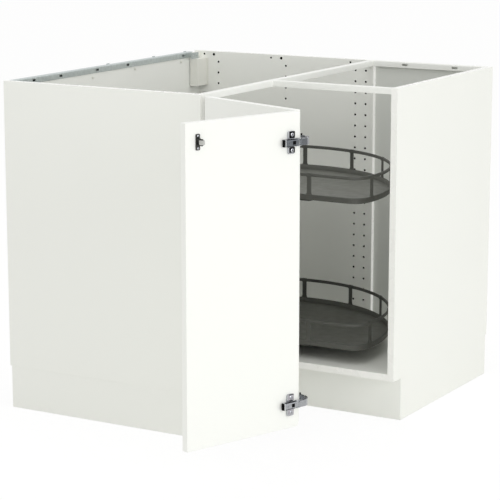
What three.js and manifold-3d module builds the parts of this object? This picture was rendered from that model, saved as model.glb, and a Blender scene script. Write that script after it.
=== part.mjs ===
// L-shaped corner base cabinet with a pair of folding doors and a two-tray carousel.
// Units are millimetres, +Z is up. The origin is on the floor, on the carousel's axis.
// Plan, seen from above (+X right, +Y away from the viewer), with the letters used below:
//
//   B-----------C-------D      A-G left end, faces the viewer
//   |           |       |      A-B back board and galvanised rail
//   |   post    |       |      B-C side panel with shelf holes
//   |           F-------E      C-D thin back panel
//   |           |              E-D right end
//   A-----------G              G-F and F-E are the two door openings
//
// The doors are drawn closed and then turned open together about the cabinet hinges.

import * as THREE from "three";
import { mergeVertices } from "three/addons/utils/BufferGeometryUtils.js";
import Module from "manifold-3d";

// ---------- driving dimensions ----------
const LENGTH = 960; // each wall side, A-B and B-D
const DEPTH = 600; // depth of each leg of the L, A-G and D-E
const CARCASS_HEIGHT = 762;
const LEG_HEIGHT = 114.3;
const BOARD = 18;
const BACK_BOARD = 16;
const BACK_PANEL = 6;
const BACK_PANEL_INSET = 1;
const JOINT_GAP = 0.3; // between pieces that touch only in turned groups or round fits

const AXIS_INSET = 480; // carousel axis from each wall face

const SHELF_PITCH = 32;
const SHELF_ROWS = 22;
const SHELF_TOP_DROP = 30.5; // first row below the panel top
const SHELF_HOLE_R = 2.5;
const SHELF_HOLE_DEPTH = 10;
const REAR_COLUMNS = [84, 314, DEPTH - 57, DEPTH - 24]; // from the wall end of the rear side panel
const LEFT_COLUMNS = [84, DEPTH - 57];
const CONFIRMAT_DROP = 9; // row of fixing holes below the panel top
const CONFIRMAT_HOLES = [
  { x: 35, r: 2.5 },
  { x: 68, r: 4 },
  { x: 264, r: 2.5 },
  { x: 298, r: 4 },
  { x: 526, r: 2.5 },
];

const RAIL_WIDTH = 18;
const RAIL_HEIGHT = 16;
const RAIL_SHEET = 1.5;
const BACK_RAIL_SLOTS = [92, 213, 386, -386, -92]; // below zero: from the rail's far end
const BACK_RAIL_TABS = [462, -227, -18];
const WHITE_RAIL_SLOTS = [98.7, -90.1];
const SLOT_LENGTH = 13;
const SLOT_HEIGHT = 5.5;
const TAB_WIDTH = 14;
const TAB_HEIGHT = 2;
const RAIL_HOLE_R = 2.5;
const RAIL_HOLE_INSET = 12;

const HANGER_WIDTH = 25;
const HANGER_LENGTH = 55;
const HANGER_HEIGHT = 81;
const HANGER_DROP = 20; // top of the cover below the carcass top
const HANGER_WALL = 1.5;
const HANGER_FLANGE = 6;

const LEG_PLATE_R = 30;
const LEG_PLATE_T = 8;
const LEG_TUBE_R = 18;
const FOOT_R = 25;
const FOOT_T = 10;
const FOOT_STEM_R = 12;
const LEG_TUBE_LIFT = 16; // tube's lower end above the floor
const LEG_SETBACK = 70; // leg centre from the carcass edge
const LEG_FRONT_SETBACK = 120; // centre of a leg behind a front plinth, from the carcass front

const PLINTH_BOARD = 16;
const PLINTH_INSET = 2; // end plinths behind the end panels
const PLINTH_RECESS = 48; // front plinths behind the carcass front
const PLINTH_END_GAP = 4;
const CLIP_HEIGHT = 24;
const CLIP_WIDTH = 20;
const CLIP_Z = 50;

const DOOR_BOARD = 18;
const DOOR_STANDOFF = 2; // closed door to carcass front
const DOOR_SIDE_GAP = 3;
const DOOR_END_GAP = 4; // above and below
const DOOR_MEETING_GAP = 3;
const DOOR_OPEN_DEG = 110;

const PIVOT_OUT = 15; // cabinet hinge axis, in front of the carcass
const PIVOT_IN = 5; // cabinet hinge axis, from the end panel's outer face
const CUP_R = 17.3;
const CUP_HOLE_R = 17.6;
const CUP_HOLE_DEPTH = 12;
const CUP_WELL_R = 14;
const CUP_WELL_DEPTH = 10;
const CUP_FLANGE_T = 1.2;
const CUP_FLANGE_R = 19;
const CUP_SLOT_HALF = 6.6; // the links pass the cup's rim in this slot
const CUP_SLOT_DEPTH = 2.5;
const CUP_EAR_SPAN = 45;
const CUP_EAR_R = 5.5;
const CUP_EDGE = 22; // cup centre from the door's edge
const HINGE_DROP = 70; // upper hinge below the door's top
const HINGE_RISE = 58; // lower hinge above the door's bottom
const LINK_HALF = 2.5;
const LINK_EYE_R = 4;
const LINK_THICK = 7;
const LINK_SIDE = 2;
const LINK_WEB = [8, 18]; // web between the outer link's two sides, from the cup pin
const PIN_R = 1.5;
const PIN_CLEARANCE = 0.4;
const CUP_PIN_DEPTH = 3; // pin below the door's inner face

const ARM_PIN = [-14.1, 26.3]; // inner link pin: from the carcass front, from the end's outer face
const ELBOW_CLOSED = [-12.5, 54.1]; // pin between the links with the door closed
const ARM_LENGTH = 52;
const ARM_HEIGHT = 16;
const ARM_RISE = 13;
const PLATE_T = 3;
const PLATE_WING = 53;
const PLATE_WING_W = 20;
const PLATE_EDGE = 37; // plate centre from the carcass front

const FOLD_PLATE_T = 3;
const FOLD_PLATE_EDGE = 27.5;
const FOLD_ARM_REACH = 55;
const FOLD_ARM_HEIGHT = 18;
const FOLD_ARM_RISE = 12;
const FOLD_PIN_EDGE = 6; // pin in the fold hinge's cup, from the cup's centre towards the knuckle
const FOLD_PIN_R = 1.2;
const FOLD_PIN_SHIFT = 0.75; // the pin rests near one side of its loose eye
const FOLD_EYE_R = 2.65;
const GOOSENECK_HALF = 2.5;
const GOOSENECK_HEIGHT = 12;
const FOLD_LIMIT_DEG = 60;

const CATCH_EDGE = 34; // plate centre from the door's free edge
const CATCH_DROP = 44.3;
const CATCH_PLATE = [11.5, 36.6, 2];
const CATCH_ARM_OUT = 12;
const ROLLER_R = 6.5;
const ROLLER_HEIGHT = 10;
const ROLLER_OUT = 13;
const ROLLER_SIDE = -2.5; // roller axis from the plate's middle
const KEEPER = [4, 12, 28];

const FLANGE_R = 60;
const FLANGE_T = 5;
const FLANGE_BOSS_R = 24;
const FLANGE_BOSS_H = 11;
const POST_R = 16;
const POST_RISE = 535.7; // above the bottom board, as the tray heights are
const CAP_R = 18;
const CAP_T = 10;

const TRAY_R = 366;
const TRAY_NOTCH = 84; // straight sides from the axis
const TRAY_CORNER_R = 45;
const TRAY_INNER_R = 22;
const TRAY_FLOOR_T = 2;
const TRAY_RIM_H = 15;
const TRAY_RIM_T = 4;
const TRAY_RAIL_H = 8.5;
const TRAY_RAIL_T = 4.5;
const TRAY_HEIGHT = 71;
const TRAY_POST_W = 12;
const TRAY_POST_T = 2.6;
const TRAY_POST_INSET = 0.8; // behind the rim's outer face
const TRAY_POST_FOOT = 22; // width at the rim
const TRAY_POST_FLARE = 9;
const TRAY_ARC_POSTS = 12;
const TRAY_FIRST_POST_DEG = -4;
const TRAY_SIDE_POST = 208; // post on each straight side, from the axis
const TRAY_PLATE_R = 224;
const TRAY_PLATE_T = 3;
const LOWER_TRAY_RISE = 109.7; // top rail above the bottom board
const UPPER_TRAY_RISE = 501.7;
const HUB_R = 34;
const HUB_H = 34;
const HUB_CLEARANCE = 0.4;
const COLLAR_R = 26;
const COLLAR_H = 14;
const WASHER_T = 2;

// ---------- derived places, in the corner frame (A at 0, 0) ----------
const TOP = LEG_HEIGHT + CARCASS_HEIGHT;
const NOTCH = LENGTH - DEPTH;
const DOOR_BOTTOM = LEG_HEIGHT + DOOR_END_GAP;
const DOOR_TOP = TOP - DOOR_END_GAP;
const DOOR_WIDTH = NOTCH - DOOR_SIDE_GAP - DOOR_STANDOFF - DOOR_BOARD - DOOR_MEETING_GAP;
const DOOR_IN_X = DEPTH + DOOR_STANDOFF; // door 1's inner face, closed
const DOOR_OUT_X = DOOR_IN_X + DOOR_BOARD;
const DOOR1_END_Y = DOOR_SIDE_GAP + DOOR_WIDTH;
const DOOR2_IN_Y = NOTCH - DOOR_STANDOFF;
const DOOR2_OUT_Y = DOOR2_IN_Y - DOOR_BOARD;
const DOOR2_START_X = DOOR_OUT_X + DOOR_MEETING_GAP;
const DOOR2_END_X = DOOR2_START_X + DOOR_WIDTH;
const HINGE_LEVELS = [DOOR_TOP - HINGE_DROP, DOOR_BOTTOM + HINGE_RISE];
const HINGE_NAMES = ["upper", "lower"];
const PIVOT = [DEPTH + PIVOT_OUT, PIVOT_IN];
const KNUCKLE = [DOOR_OUT_X + DOOR_MEETING_GAP / 2, DOOR1_END_Y + DOOR_MEETING_GAP / 2];
const BOTTOM_TOP = LEG_HEIGHT + BOARD;
const POST_TOP = BOTTOM_TOP + POST_RISE;

// ---------- materials ----------
const paint = (color, roughness, metalness) =>
  new THREE.MeshStandardMaterial({ color, roughness, metalness });
const WHITE_BOARD = paint(0xf2f2ee, 0.45, 0);
const WHITE_DOOR = paint(0xf7f8f4, 0.35, 0);
const WHITE_STEEL = paint(0xf0f0ec, 0.4, 0.1);
const ZINC_STEEL = paint(0x98a2a4, 0.4, 0.9);
const NICKEL = paint(0xb4b8bc, 0.25, 1);
const DARK_STEEL = paint(0x4a4a48, 0.5, 0.5);
const ANTHRACITE = paint(0x4d4e4a, 0.55, 0.3);
const BLACK_PLASTIC = paint(0x202020, 0.5, 0);
const PALE_PLASTIC = paint(0xdcdcd6, 0.5, 0);

// ---------- geometry helpers ----------
const wasm = await Module();
wasm.setup();

const root = new THREE.Group();
root.position.set(-AXIS_INSET, -AXIS_INSET, 0);
const rad = THREE.MathUtils.degToRad;

function solid(geometry) {
  const bare = geometry.clone();
  for (const name of Object.keys(bare.attributes)) {
    if (name !== "position") bare.deleteAttribute(name);
  }
  const merged = mergeVertices(bare, 1e-4);
  return new wasm.Manifold(
    new wasm.Mesh({
      numProp: 3,
      vertProperties: new Float32Array(merged.attributes.position.array),
      triVerts: new Uint32Array(merged.index.array),
    }),
  );
}

function geometryOf(manifold) {
  const mesh = manifold.getMesh();
  const geometry = new THREE.BufferGeometry();
  const points = new Float32Array(mesh.vertProperties);
  geometry.setAttribute("position", new THREE.BufferAttribute(points, 3));
  geometry.setIndex(new THREE.BufferAttribute(new Uint32Array(mesh.triVerts), 1));
  geometry.computeVertexNormals();
  return geometry;
}

function piece(name, shape, material, parent = root) {
  const geometry = shape.isBufferGeometry ? shape : geometryOf(shape);
  const mesh = new THREE.Mesh(geometry, material);
  mesh.name = name;
  parent.add(mesh);
  return mesh;
}

// A box from its low and high corners.
function block(x0, x1, y0, y1, z0, z1) {
  const box = new THREE.BoxGeometry(x1 - x0, y1 - y0, z1 - z0);
  box.translate((x0 + x1) / 2, (y0 + y1) / 2, (z0 + z1) / 2);
  return solid(box);
}

// A cylinder from a centre point, along "x", "y" or "z", from a to b on that axis.
function rod(axis, centre, a, b, radius, sides = 24) {
  const cylinder = new THREE.CylinderGeometry(radius, radius, b - a, sides);
  if (axis === "x") cylinder.rotateZ(-Math.PI / 2);
  if (axis === "z") cylinder.rotateX(Math.PI / 2);
  const middle = (a + b) / 2;
  const [u, v] = centre;
  if (axis === "x") cylinder.translate(middle, u, v);
  if (axis === "y") cylinder.translate(u, middle, v);
  if (axis === "z") cylinder.translate(u, v, middle);
  return solid(cylinder);
}

// A flat outline in the XY plane, from z0 to z1.
function slab(shape, z0, z1, steps = 12) {
  const options = { depth: z1 - z0, bevelEnabled: false, curveSegments: steps };
  const geometry = new THREE.ExtrudeGeometry(shape, options);
  geometry.translate(0, 0, z0);
  return solid(geometry);
}

function outline(points) {
  const shape = new THREE.Shape();
  points.forEach(([x, y], i) => (i ? shape.lineTo(x, y) : shape.moveTo(x, y)));
  shape.closePath();
  return shape;
}

const join = (solids) => solids.reduce((all, one) => all.add(one));
const cut = (body, tools) => tools.reduce((left, tool) => left.subtract(tool), body);

// A bar of constant width with round ends and elbows, through points in the XY plane.
function linkage(points, half, z0, z1, endRadius = half) {
  const parts = [];
  for (let i = 0; i + 1 < points.length; i++) {
    const [ax, ay] = points[i];
    const [bx, by] = points[i + 1];
    const length = Math.hypot(bx - ax, by - ay);
    const nx = (-(by - ay) / length) * half;
    const ny = ((bx - ax) / length) * half;
    const corners = [
      [ax - nx, ay - ny],
      [bx - nx, by - ny],
      [bx + nx, by + ny],
      [ax + nx, ay + ny],
    ];
    parts.push(slab(outline(corners), z0, z1));
  }
  points.forEach(([x, y], i) => {
    const radius = i === 0 || i === points.length - 1 ? endRadius : half;
    parts.push(rod("z", [x, y], z0, z1, radius, 8));
  });
  return join(parts);
}

// ---------- carcass ----------
// Blind holes in a panel whose inner face is at y = faceY and looks towards +Y (side 1) or -Y (-1).
function shelfHoleTools(columns, faceY, side) {
  const y0 = side > 0 ? faceY - SHELF_HOLE_DEPTH : faceY - 1;
  const y1 = side > 0 ? faceY + 1 : faceY + SHELF_HOLE_DEPTH;
  const tools = [];
  for (const x of columns) {
    for (let row = 0; row < SHELF_ROWS; row++) {
      const z = TOP - SHELF_TOP_DROP - row * SHELF_PITCH;
      tools.push(rod("y", [x, z], y0, y1, SHELF_HOLE_R, 6));
    }
  }
  for (const { x, r } of CONFIRMAT_HOLES) {
    tools.push(rod("y", [x, TOP - CONFIRMAT_DROP], y0, y1, r, 6));
  }
  return tools;
}

function sidePanels() {
  const left = block(0, DEPTH, 0, BOARD, LEG_HEIGHT, TOP);
  piece("left_end_panel", cut(left, shelfHoleTools(LEFT_COLUMNS, BOARD, 1)), WHITE_BOARD);
  const rear = block(0, DEPTH, LENGTH - BOARD, LENGTH, LEG_HEIGHT, TOP);
  piece("rear_side_panel", cut(rear, shelfHoleTools(REAR_COLUMNS, LENGTH - BOARD, -1)), WHITE_BOARD);
  piece("right_end_panel", block(LENGTH - BOARD, LENGTH, NOTCH, LENGTH, LEG_HEIGHT, TOP), WHITE_BOARD);
}

function bottomsAndBacks() {
  const inY0 = BOARD;
  const inY1 = LENGTH - BOARD;
  const panelY = LENGTH - BACK_PANEL_INSET - BACK_PANEL;
  piece("bottom_board_main", block(BACK_BOARD, DEPTH, inY0, inY1, LEG_HEIGHT, BOTTOM_TOP), WHITE_BOARD);
  piece(
    "bottom_board_extension",
    block(DEPTH, LENGTH - BOARD, NOTCH, panelY, LEG_HEIGHT, BOTTOM_TOP),
    WHITE_BOARD,
  );
  const backTop = TOP - RAIL_HEIGHT;
  piece("back_board_left", block(0, BACK_BOARD, inY0, inY1, LEG_HEIGHT, backTop), WHITE_BOARD);
  piece(
    "back_panel_right",
    block(DEPTH, LENGTH - BOARD, panelY, panelY + BACK_PANEL, LEG_HEIGHT, backTop),
    WHITE_BOARD,
  );
}

// An inverted channel along +X from the origin, its top at z = 0 and its front web at y = 0.
// A slot or tab is placed from the origin, or from the far end where its number is below zero.
function channel(length, slots, tabs, screws) {
  const outer = block(0, length, 0, RAIL_WIDTH, -RAIL_HEIGHT, 0);
  const hollow = block(-1, length + 1, RAIL_SHEET, RAIL_WIDTH - RAIL_SHEET, -RAIL_HEIGHT - 1, -RAIL_SHEET);
  const tools = [hollow];
  const placed = (from) => (from < 0 ? length + from : from);
  for (const from of slots) {
    const x = placed(from);
    const z = -RAIL_HEIGHT / 2;
    const half = SLOT_LENGTH / 2;
    tools.push(block(x - half, x + half, -1, RAIL_SHEET + 1, z - SLOT_HEIGHT / 2, z + SLOT_HEIGHT / 2));
  }
  if (screws) {
    for (const x of [RAIL_HOLE_INSET, length - RAIL_HOLE_INSET]) {
      tools.push(rod("z", [x, RAIL_WIDTH / 2], -RAIL_SHEET - 1, 1, RAIL_HOLE_R, 10));
    }
  }
  const bumps = tabs.map((from) => {
    const x = placed(from) - TAB_WIDTH / 2;
    return block(x, x + TAB_WIDTH, RAIL_WIDTH - RAIL_SHEET, RAIL_WIDTH, -RAIL_SHEET, TAB_HEIGHT);
  });
  return join([cut(outer, tools), ...bumps]);
}

function rails() {
  const mainLength = LENGTH - 2 * BOARD;
  const sideLength = LENGTH - BOARD - DEPTH;
  const wall = channel(mainLength, BACK_RAIL_SLOTS, BACK_RAIL_TABS, false);
  const back = piece("back_rail_left", wall, ZINC_STEEL);
  back.rotation.z = Math.PI / 2;
  back.position.set(RAIL_WIDTH, BOARD, TOP);
  const white = piece("back_rail_right", channel(sideLength, WHITE_RAIL_SLOTS, [], false), WHITE_STEEL);
  white.position.set(DEPTH, LENGTH - RAIL_WIDTH, TOP);
  const front = piece("front_rail_main", channel(mainLength, [], [], true), WHITE_STEEL);
  front.rotation.z = Math.PI / 2;
  front.position.set(DEPTH, BOARD, TOP);
  const side = piece("front_rail_extension", channel(sideLength, [], [], true), WHITE_STEEL);
  side.position.set(DEPTH, NOTCH, TOP);
}

function cornerHanger() {
  const x0 = RAIL_WIDTH;
  const x1 = x0 + HANGER_WIDTH;
  const y1 = LENGTH - BOARD;
  const y0 = y1 - HANGER_LENGTH;
  const z1 = TOP - HANGER_DROP;
  const z0 = z1 - HANGER_HEIGHT;
  const shell = block(x0, x1, y0, y1, z0, z1);
  const lip = block(x1 - HANGER_WALL, x1 + HANGER_FLANGE, y1 - HANGER_WALL, y1, z0, z1);
  const wall = HANGER_WALL;
  const inside = block(x0 - 1, x1 - wall, y0 + wall, y1 - wall, z0 - 1, z1 - wall);
  piece("corner_hanger_cover", cut(join([shell, lip]), [inside]), PALE_PLASTIC);
  const gap = 2;
  const plate = block(BACK_BOARD, BACK_BOARD + 2, y0 - 12, y1 - 4, z0 + 6, z1 - 6);
  const hook = block(BACK_BOARD + 1, x1 - HANGER_WALL - gap, y1 - 30, y1 - 27, z0 + 14, z1 - 14);
  piece("corner_hanger_bracket", join([plate, hook]), ZINC_STEEL);
}

// ---------- legs and plinth ----------
const NEAR = LEG_SETBACK;
const FAR = LENGTH - LEG_SETBACK;
const MID_X = DEPTH - LEG_FRONT_SETBACK;
const MID_Y = NOTCH + LEG_FRONT_SETBACK;

function leg(name, x, y) {
  const plate = rod("z", [x, y], LEG_HEIGHT - LEG_PLATE_T, LEG_HEIGHT, LEG_PLATE_R, 14);
  const tube = rod("z", [x, y], LEG_TUBE_LIFT, LEG_HEIGHT - 1, LEG_TUBE_R, 12);
  const stem = rod("z", [x, y], 1, LEG_TUBE_LIFT + 1, FOOT_STEM_R, 8);
  const pad = rod("z", [x, y], 0, FOOT_T, FOOT_R, 14);
  piece(name, join([plate, tube, stem, pad]), BLACK_PLASTIC);
}

function legs() {
  leg("leg_front_left", NEAR, NEAR);
  leg("leg_front_right", MID_X, NEAR);
  leg("leg_wall_left", NEAR, MID_Y);
  leg("leg_centre", MID_X, MID_Y);
  leg("leg_side_front", FAR, MID_Y);
  leg("leg_corner", NEAR, FAR);
  leg("leg_wall_rear", MID_X, FAR);
  leg("leg_back_right", FAR, FAR);
}

// A clip on a plinth board's back that reaches to a leg's tube and is hollowed round it.
function clip(legX, legY, x0, x1, y0, y1) {
  const bar = block(x0, x1, y0, y1, CLIP_Z, CLIP_Z + CLIP_HEIGHT);
  const hollow = [legX, legY];
  return bar.subtract(rod("z", hollow, CLIP_Z - 1, CLIP_Z + CLIP_HEIGHT + 1, LEG_TUBE_R + 2 * JOINT_GAP, 12));
}

function plinths() {
  const z1 = LEG_HEIGHT;
  const mainOut = DEPTH - PLINTH_RECESS; // front face of the plinth under G-F
  const mainIn = mainOut - PLINTH_BOARD;
  const sideOut = NOTCH + PLINTH_RECESS; // front face of the plinth under F-E
  const sideIn = sideOut + PLINTH_BOARD;
  const endIn = PLINTH_INSET + PLINTH_BOARD;
  const rightOut = LENGTH - PLINTH_INSET;
  const rightIn = rightOut - PLINTH_BOARD;
  const back = LENGTH - PLINTH_END_GAP;
  const half = CLIP_WIDTH / 2;
  const left = block(PLINTH_END_GAP, mainOut, PLINTH_INSET, endIn, 0, z1);
  const leftClips = [NEAR, MID_X].map((x) => clip(x, NEAR, x - half, x + half, endIn - 1, NEAR));
  piece("plinth_left_end", join([left, ...leftClips]), WHITE_BOARD);
  const main = block(mainIn, mainOut, endIn, sideIn, 0, z1);
  const mainClip = clip(MID_X, NEAR, MID_X, mainIn + 1, NEAR - half, NEAR + half);
  piece("plinth_front_main", join([main, mainClip]), WHITE_BOARD);
  const side = block(mainOut, rightIn, sideOut, sideIn, 0, z1);
  const sideClip = clip(FAR, MID_Y, FAR - half, FAR + half, sideIn - 1, MID_Y);
  piece("plinth_front_extension", join([side, sideClip]), WHITE_BOARD);
  const right = block(rightIn, rightOut, sideOut, back, 0, z1);
  const rightClips = [MID_Y, FAR].map((y) => clip(FAR, y, FAR, rightIn + 1, y - half, y + half));
  piece("plinth_right_end", join([right, ...rightClips]), WHITE_BOARD);
}

// ---------- doors and hinges ----------
// Everything on the doors is drawn closed. Door 1's frame has its origin on the cabinet hinge axis.
const openPair = new THREE.Group();
openPair.position.set(PIVOT[0], PIVOT[1], 0);
openPair.rotation.z = -rad(DOOR_OPEN_DEG);
root.add(openPair);
const doorFrame = new THREE.Group();
doorFrame.position.set(-PIVOT[0], -PIVOT[1], 0);
openPair.add(doorFrame);

// A hinge cup let into a door whose inner face is at x = face, with the door on the +X side.
function cup(face, y, level, [pinX, pinY], pinRadius) {
  const out = face - JOINT_GAP;
  const body = rod("x", [y, level], out - CUP_FLANGE_T, face + CUP_HOLE_DEPTH - 2 * JOINT_GAP, CUP_R, 20);
  const rim = rod("x", [y, level], out - CUP_FLANGE_T, out, CUP_FLANGE_R, 20);
  const half = CUP_EAR_SPAN / 2;
  const tip = half + 4;
  const ears = block(out - CUP_FLANGE_T, out, y - CUP_EAR_R, y + CUP_EAR_R, level - tip, level + tip);
  const well = rod("x", [y, level], face - 4, face + CUP_WELL_DEPTH, CUP_WELL_R, 16);
  const pass = CUP_FLANGE_R + 1;
  const slot = block(
    out - CUP_FLANGE_T - 1,
    face + CUP_SLOT_DEPTH,
    y - pass,
    y + pass,
    level - CUP_SLOT_HALF,
    level + CUP_SLOT_HALF,
  );
  const shell = cut(join([body, rim, ears]), [well, slot]);
  const reach = CUP_WELL_R + 1;
  return join([shell, rod("z", [pinX, pinY], level - reach, level + reach, pinRadius, 8)]);
}

function doors() {
  const first = block(DOOR_IN_X, DOOR_OUT_X, DOOR_SIDE_GAP, DOOR1_END_Y, DOOR_BOTTOM, DOOR_TOP);
  const cupRows = [DOOR_SIDE_GAP + CUP_EDGE, DOOR1_END_Y - CUP_EDGE];
  const holes = [];
  for (const level of HINGE_LEVELS) {
    for (const y of cupRows) {
      holes.push(rod("x", [y, level], DOOR_IN_X - 1, DOOR_IN_X + CUP_HOLE_DEPTH, CUP_HOLE_R, 20));
    }
  }
  piece("door_1", cut(first, holes), WHITE_DOOR, doorFrame);
  piece(
    "door_2",
    block(DOOR2_START_X, DOOR2_END_X, DOOR2_OUT_Y, DOOR2_IN_Y, DOOR_BOTTOM, DOOR_TOP),
    WHITE_DOOR,
    doorFrame,
  );
  const [hingeRow, foldRow] = cupRows;
  HINGE_LEVELS.forEach((level, i) => {
    const place = HINGE_NAMES[i];
    const hingePin = [DOOR_IN_X + CUP_PIN_DEPTH, hingeRow];
    const foldPin = [DOOR_IN_X + CUP_PIN_DEPTH + FOLD_PIN_SHIFT, foldRow + FOLD_PIN_EDGE + FOLD_PIN_SHIFT];
    const hingeCup = cup(DOOR_IN_X, hingeRow, level, hingePin, PIN_R);
    piece(`${place}_cabinet_hinge_cup`, hingeCup, NICKEL, doorFrame);
    const foldCup = cup(DOOR_IN_X, foldRow, level, foldPin, FOLD_PIN_R);
    piece(`${place}_fold_hinge_cup`, foldCup, NICKEL, doorFrame);
  });
}

// Rotates a plan point about another by an angle in degrees.
function turned([x, y], [cx, cy], degrees) {
  const c = Math.cos(rad(degrees));
  const s = Math.sin(rad(degrees));
  return [cx + c * (x - cx) - s * (y - cy), cy + s * (x - cx) + c * (y - cy)];
}

// The place where two bars of given lengths meet, on the left of the line from a to b.
function elbow(a, b, fromA, fromB) {
  const span = Math.hypot(b[0] - a[0], b[1] - a[1]);
  const along = (fromA ** 2 - fromB ** 2 + span ** 2) / (2 * span);
  const off = Math.sqrt(fromA ** 2 - along ** 2);
  const u = [(b[0] - a[0]) / span, (b[1] - a[1]) / span];
  return [a[0] + along * u[0] - off * u[1], a[1] + along * u[1] + off * u[0]];
}

// The point at a distance from a towards b.
function along(a, b, distance) {
  const span = Math.hypot(b[0] - a[0], b[1] - a[1]);
  return a.map((value, i) => value + ((b[i] - value) * distance) / span);
}

function cabinetHinges() {
  const front = DEPTH;
  const armPin = [front + ARM_PIN[0], ARM_PIN[1]];
  const elbowClosed = [front + ELBOW_CLOSED[0], ELBOW_CLOSED[1]];
  const cupPinClosed = [DOOR_IN_X + CUP_PIN_DEPTH, DOOR_SIDE_GAP + CUP_EDGE];
  const innerLength = Math.hypot(elbowClosed[0] - armPin[0], elbowClosed[1] - armPin[1]);
  const outerLength = Math.hypot(elbowClosed[0] - cupPinClosed[0], elbowClosed[1] - cupPinClosed[1]);
  const cupPinOpen = turned(cupPinClosed, PIVOT, -DOOR_OPEN_DEG);
  const elbowOpen = elbow(armPin, cupPinOpen, innerLength, outerLength);
  HINGE_LEVELS.forEach((level, i) => {
    const place = HINGE_NAMES[i];
    const x = front - PLATE_EDGE;
    const half = PLATE_WING_W / 2;
    const wing = PLATE_WING / 2;
    const y0 = BOARD;
    const plate = block(x - half, x + half, y0, y0 + PLATE_T, level - wing, level + wing);
    piece(`${place}_cabinet_hinge_plate`, plate, NICKEL);
    const armBack = armPin[0] - ARM_LENGTH;
    const armY0 = y0 + PLATE_T;
    const armY1 = y0 + ARM_RISE;
    const tall = ARM_HEIGHT / 2;
    const linkTop = LINK_THICK / 2;
    const gap = linkTop + JOINT_GAP;
    const bar = block(armBack, armPin[0] - 6, armY0, armY1, level - tall, level + tall);
    const ears = [
      block(armPin[0] - 7, armPin[0] + 4, armY0, armY1, level + gap, level + tall),
      block(armPin[0] - 7, armPin[0] + 4, armY0, armY1, level - tall, level - gap),
    ];
    const pin = rod("z", armPin, level - tall, level + tall, PIN_R, 8);
    piece(`${place}_cabinet_hinge_arm`, join([bar, ...ears, pin]), NICKEL);
    const eye = rod("z", armPin, level - tall, level + tall, PIN_R + PIN_CLEARANCE, 8);
    const inner = linkage([armPin, elbowOpen], LINK_HALF, level - linkTop, level + linkTop, LINK_EYE_R);
    piece(`${place}_cabinet_hinge_inner_link`, cut(inner, [eye]), NICKEL);
    const sides = [level + gap, level - gap - LINK_SIDE].map((z0) =>
      linkage([elbowOpen, cupPinOpen], LINK_HALF, z0, z0 + LINK_SIDE, LINK_EYE_R),
    );
    const web = linkage(
      LINK_WEB.map((reach) => along(cupPinOpen, elbowOpen, reach)),
      LINK_HALF * 0.8,
      level - gap - 1,
      level + gap + 1,
    );
    const cupEye = rod("z", cupPinOpen, level - tall, level + tall, PIN_R + PIN_CLEARANCE, 8);
    piece(`${place}_cabinet_hinge_outer_link`, cut(join([...sides, web]), [cupEye]), NICKEL);
  });
}

// Points of the gooseneck link, from the cup of door 1 round the corner to the arm on door 2.
const GOOSENECK = [
  [0, 0],
  [-11, 4],
  [-14.5, 13],
  [-14, 26],
  [-8, 37],
  [2, 44.5],
  [23.3, 46.2],
];

function foldHinges() {
  const start = [DOOR_IN_X + CUP_PIN_DEPTH, DOOR1_END_Y - CUP_EDGE + FOLD_PIN_EDGE];
  const route = GOOSENECK.map(([x, y]) => [start[0] + x, start[1] + y]);
  const armPin = route[route.length - 1];
  const faceY = DOOR2_IN_Y + JOINT_GAP;
  HINGE_LEVELS.forEach((level, i) => {
    const place = HINGE_NAMES[i];
    const x = DOOR2_START_X + FOLD_PLATE_EDGE;
    const half = PLATE_WING_W / 2;
    const wing = PLATE_WING / 2;
    const plate = block(x - half, x + half, faceY, faceY + FOLD_PLATE_T, level - wing, level + wing);
    piece(`${place}_fold_hinge_plate`, plate, NICKEL, doorFrame);
    const y0 = faceY + FOLD_PLATE_T + JOINT_GAP;
    const y1 = faceY + FOLD_ARM_RISE;
    const tall = FOLD_ARM_HEIGHT / 2;
    const neckTop = GOOSENECK_HEIGHT / 2;
    const gap = neckTop + JOINT_GAP;
    const bar = block(armPin[0] + 5, DOOR2_START_X + FOLD_ARM_REACH, y0, y1, level - tall, level + tall);
    const ears = [
      block(armPin[0] - 3, armPin[0] + 6, y0, y1, level + gap, level + tall),
      block(armPin[0] - 3, armPin[0] + 6, y0, y1, level - tall, level - gap),
    ];
    const pin = rod("z", armPin, level - tall, level + tall, PIN_R, 8);
    piece(`${place}_fold_hinge_arm`, join([bar, ...ears, pin]), NICKEL, doorFrame);
    const neck = linkage(route, GOOSENECK_HALF, level - neckTop, level + neckTop, LINK_EYE_R);
    const eye = rod("z", armPin, level - tall, level + tall, PIN_R + PIN_CLEARANCE, 8);
    const looseEye = rod("z", start, level - tall, level + tall, FOLD_EYE_R, 12);
    piece(`${place}_fold_hinge_gooseneck`, cut(neck, [eye, looseEye]), NICKEL, doorFrame);
  });
}

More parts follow.
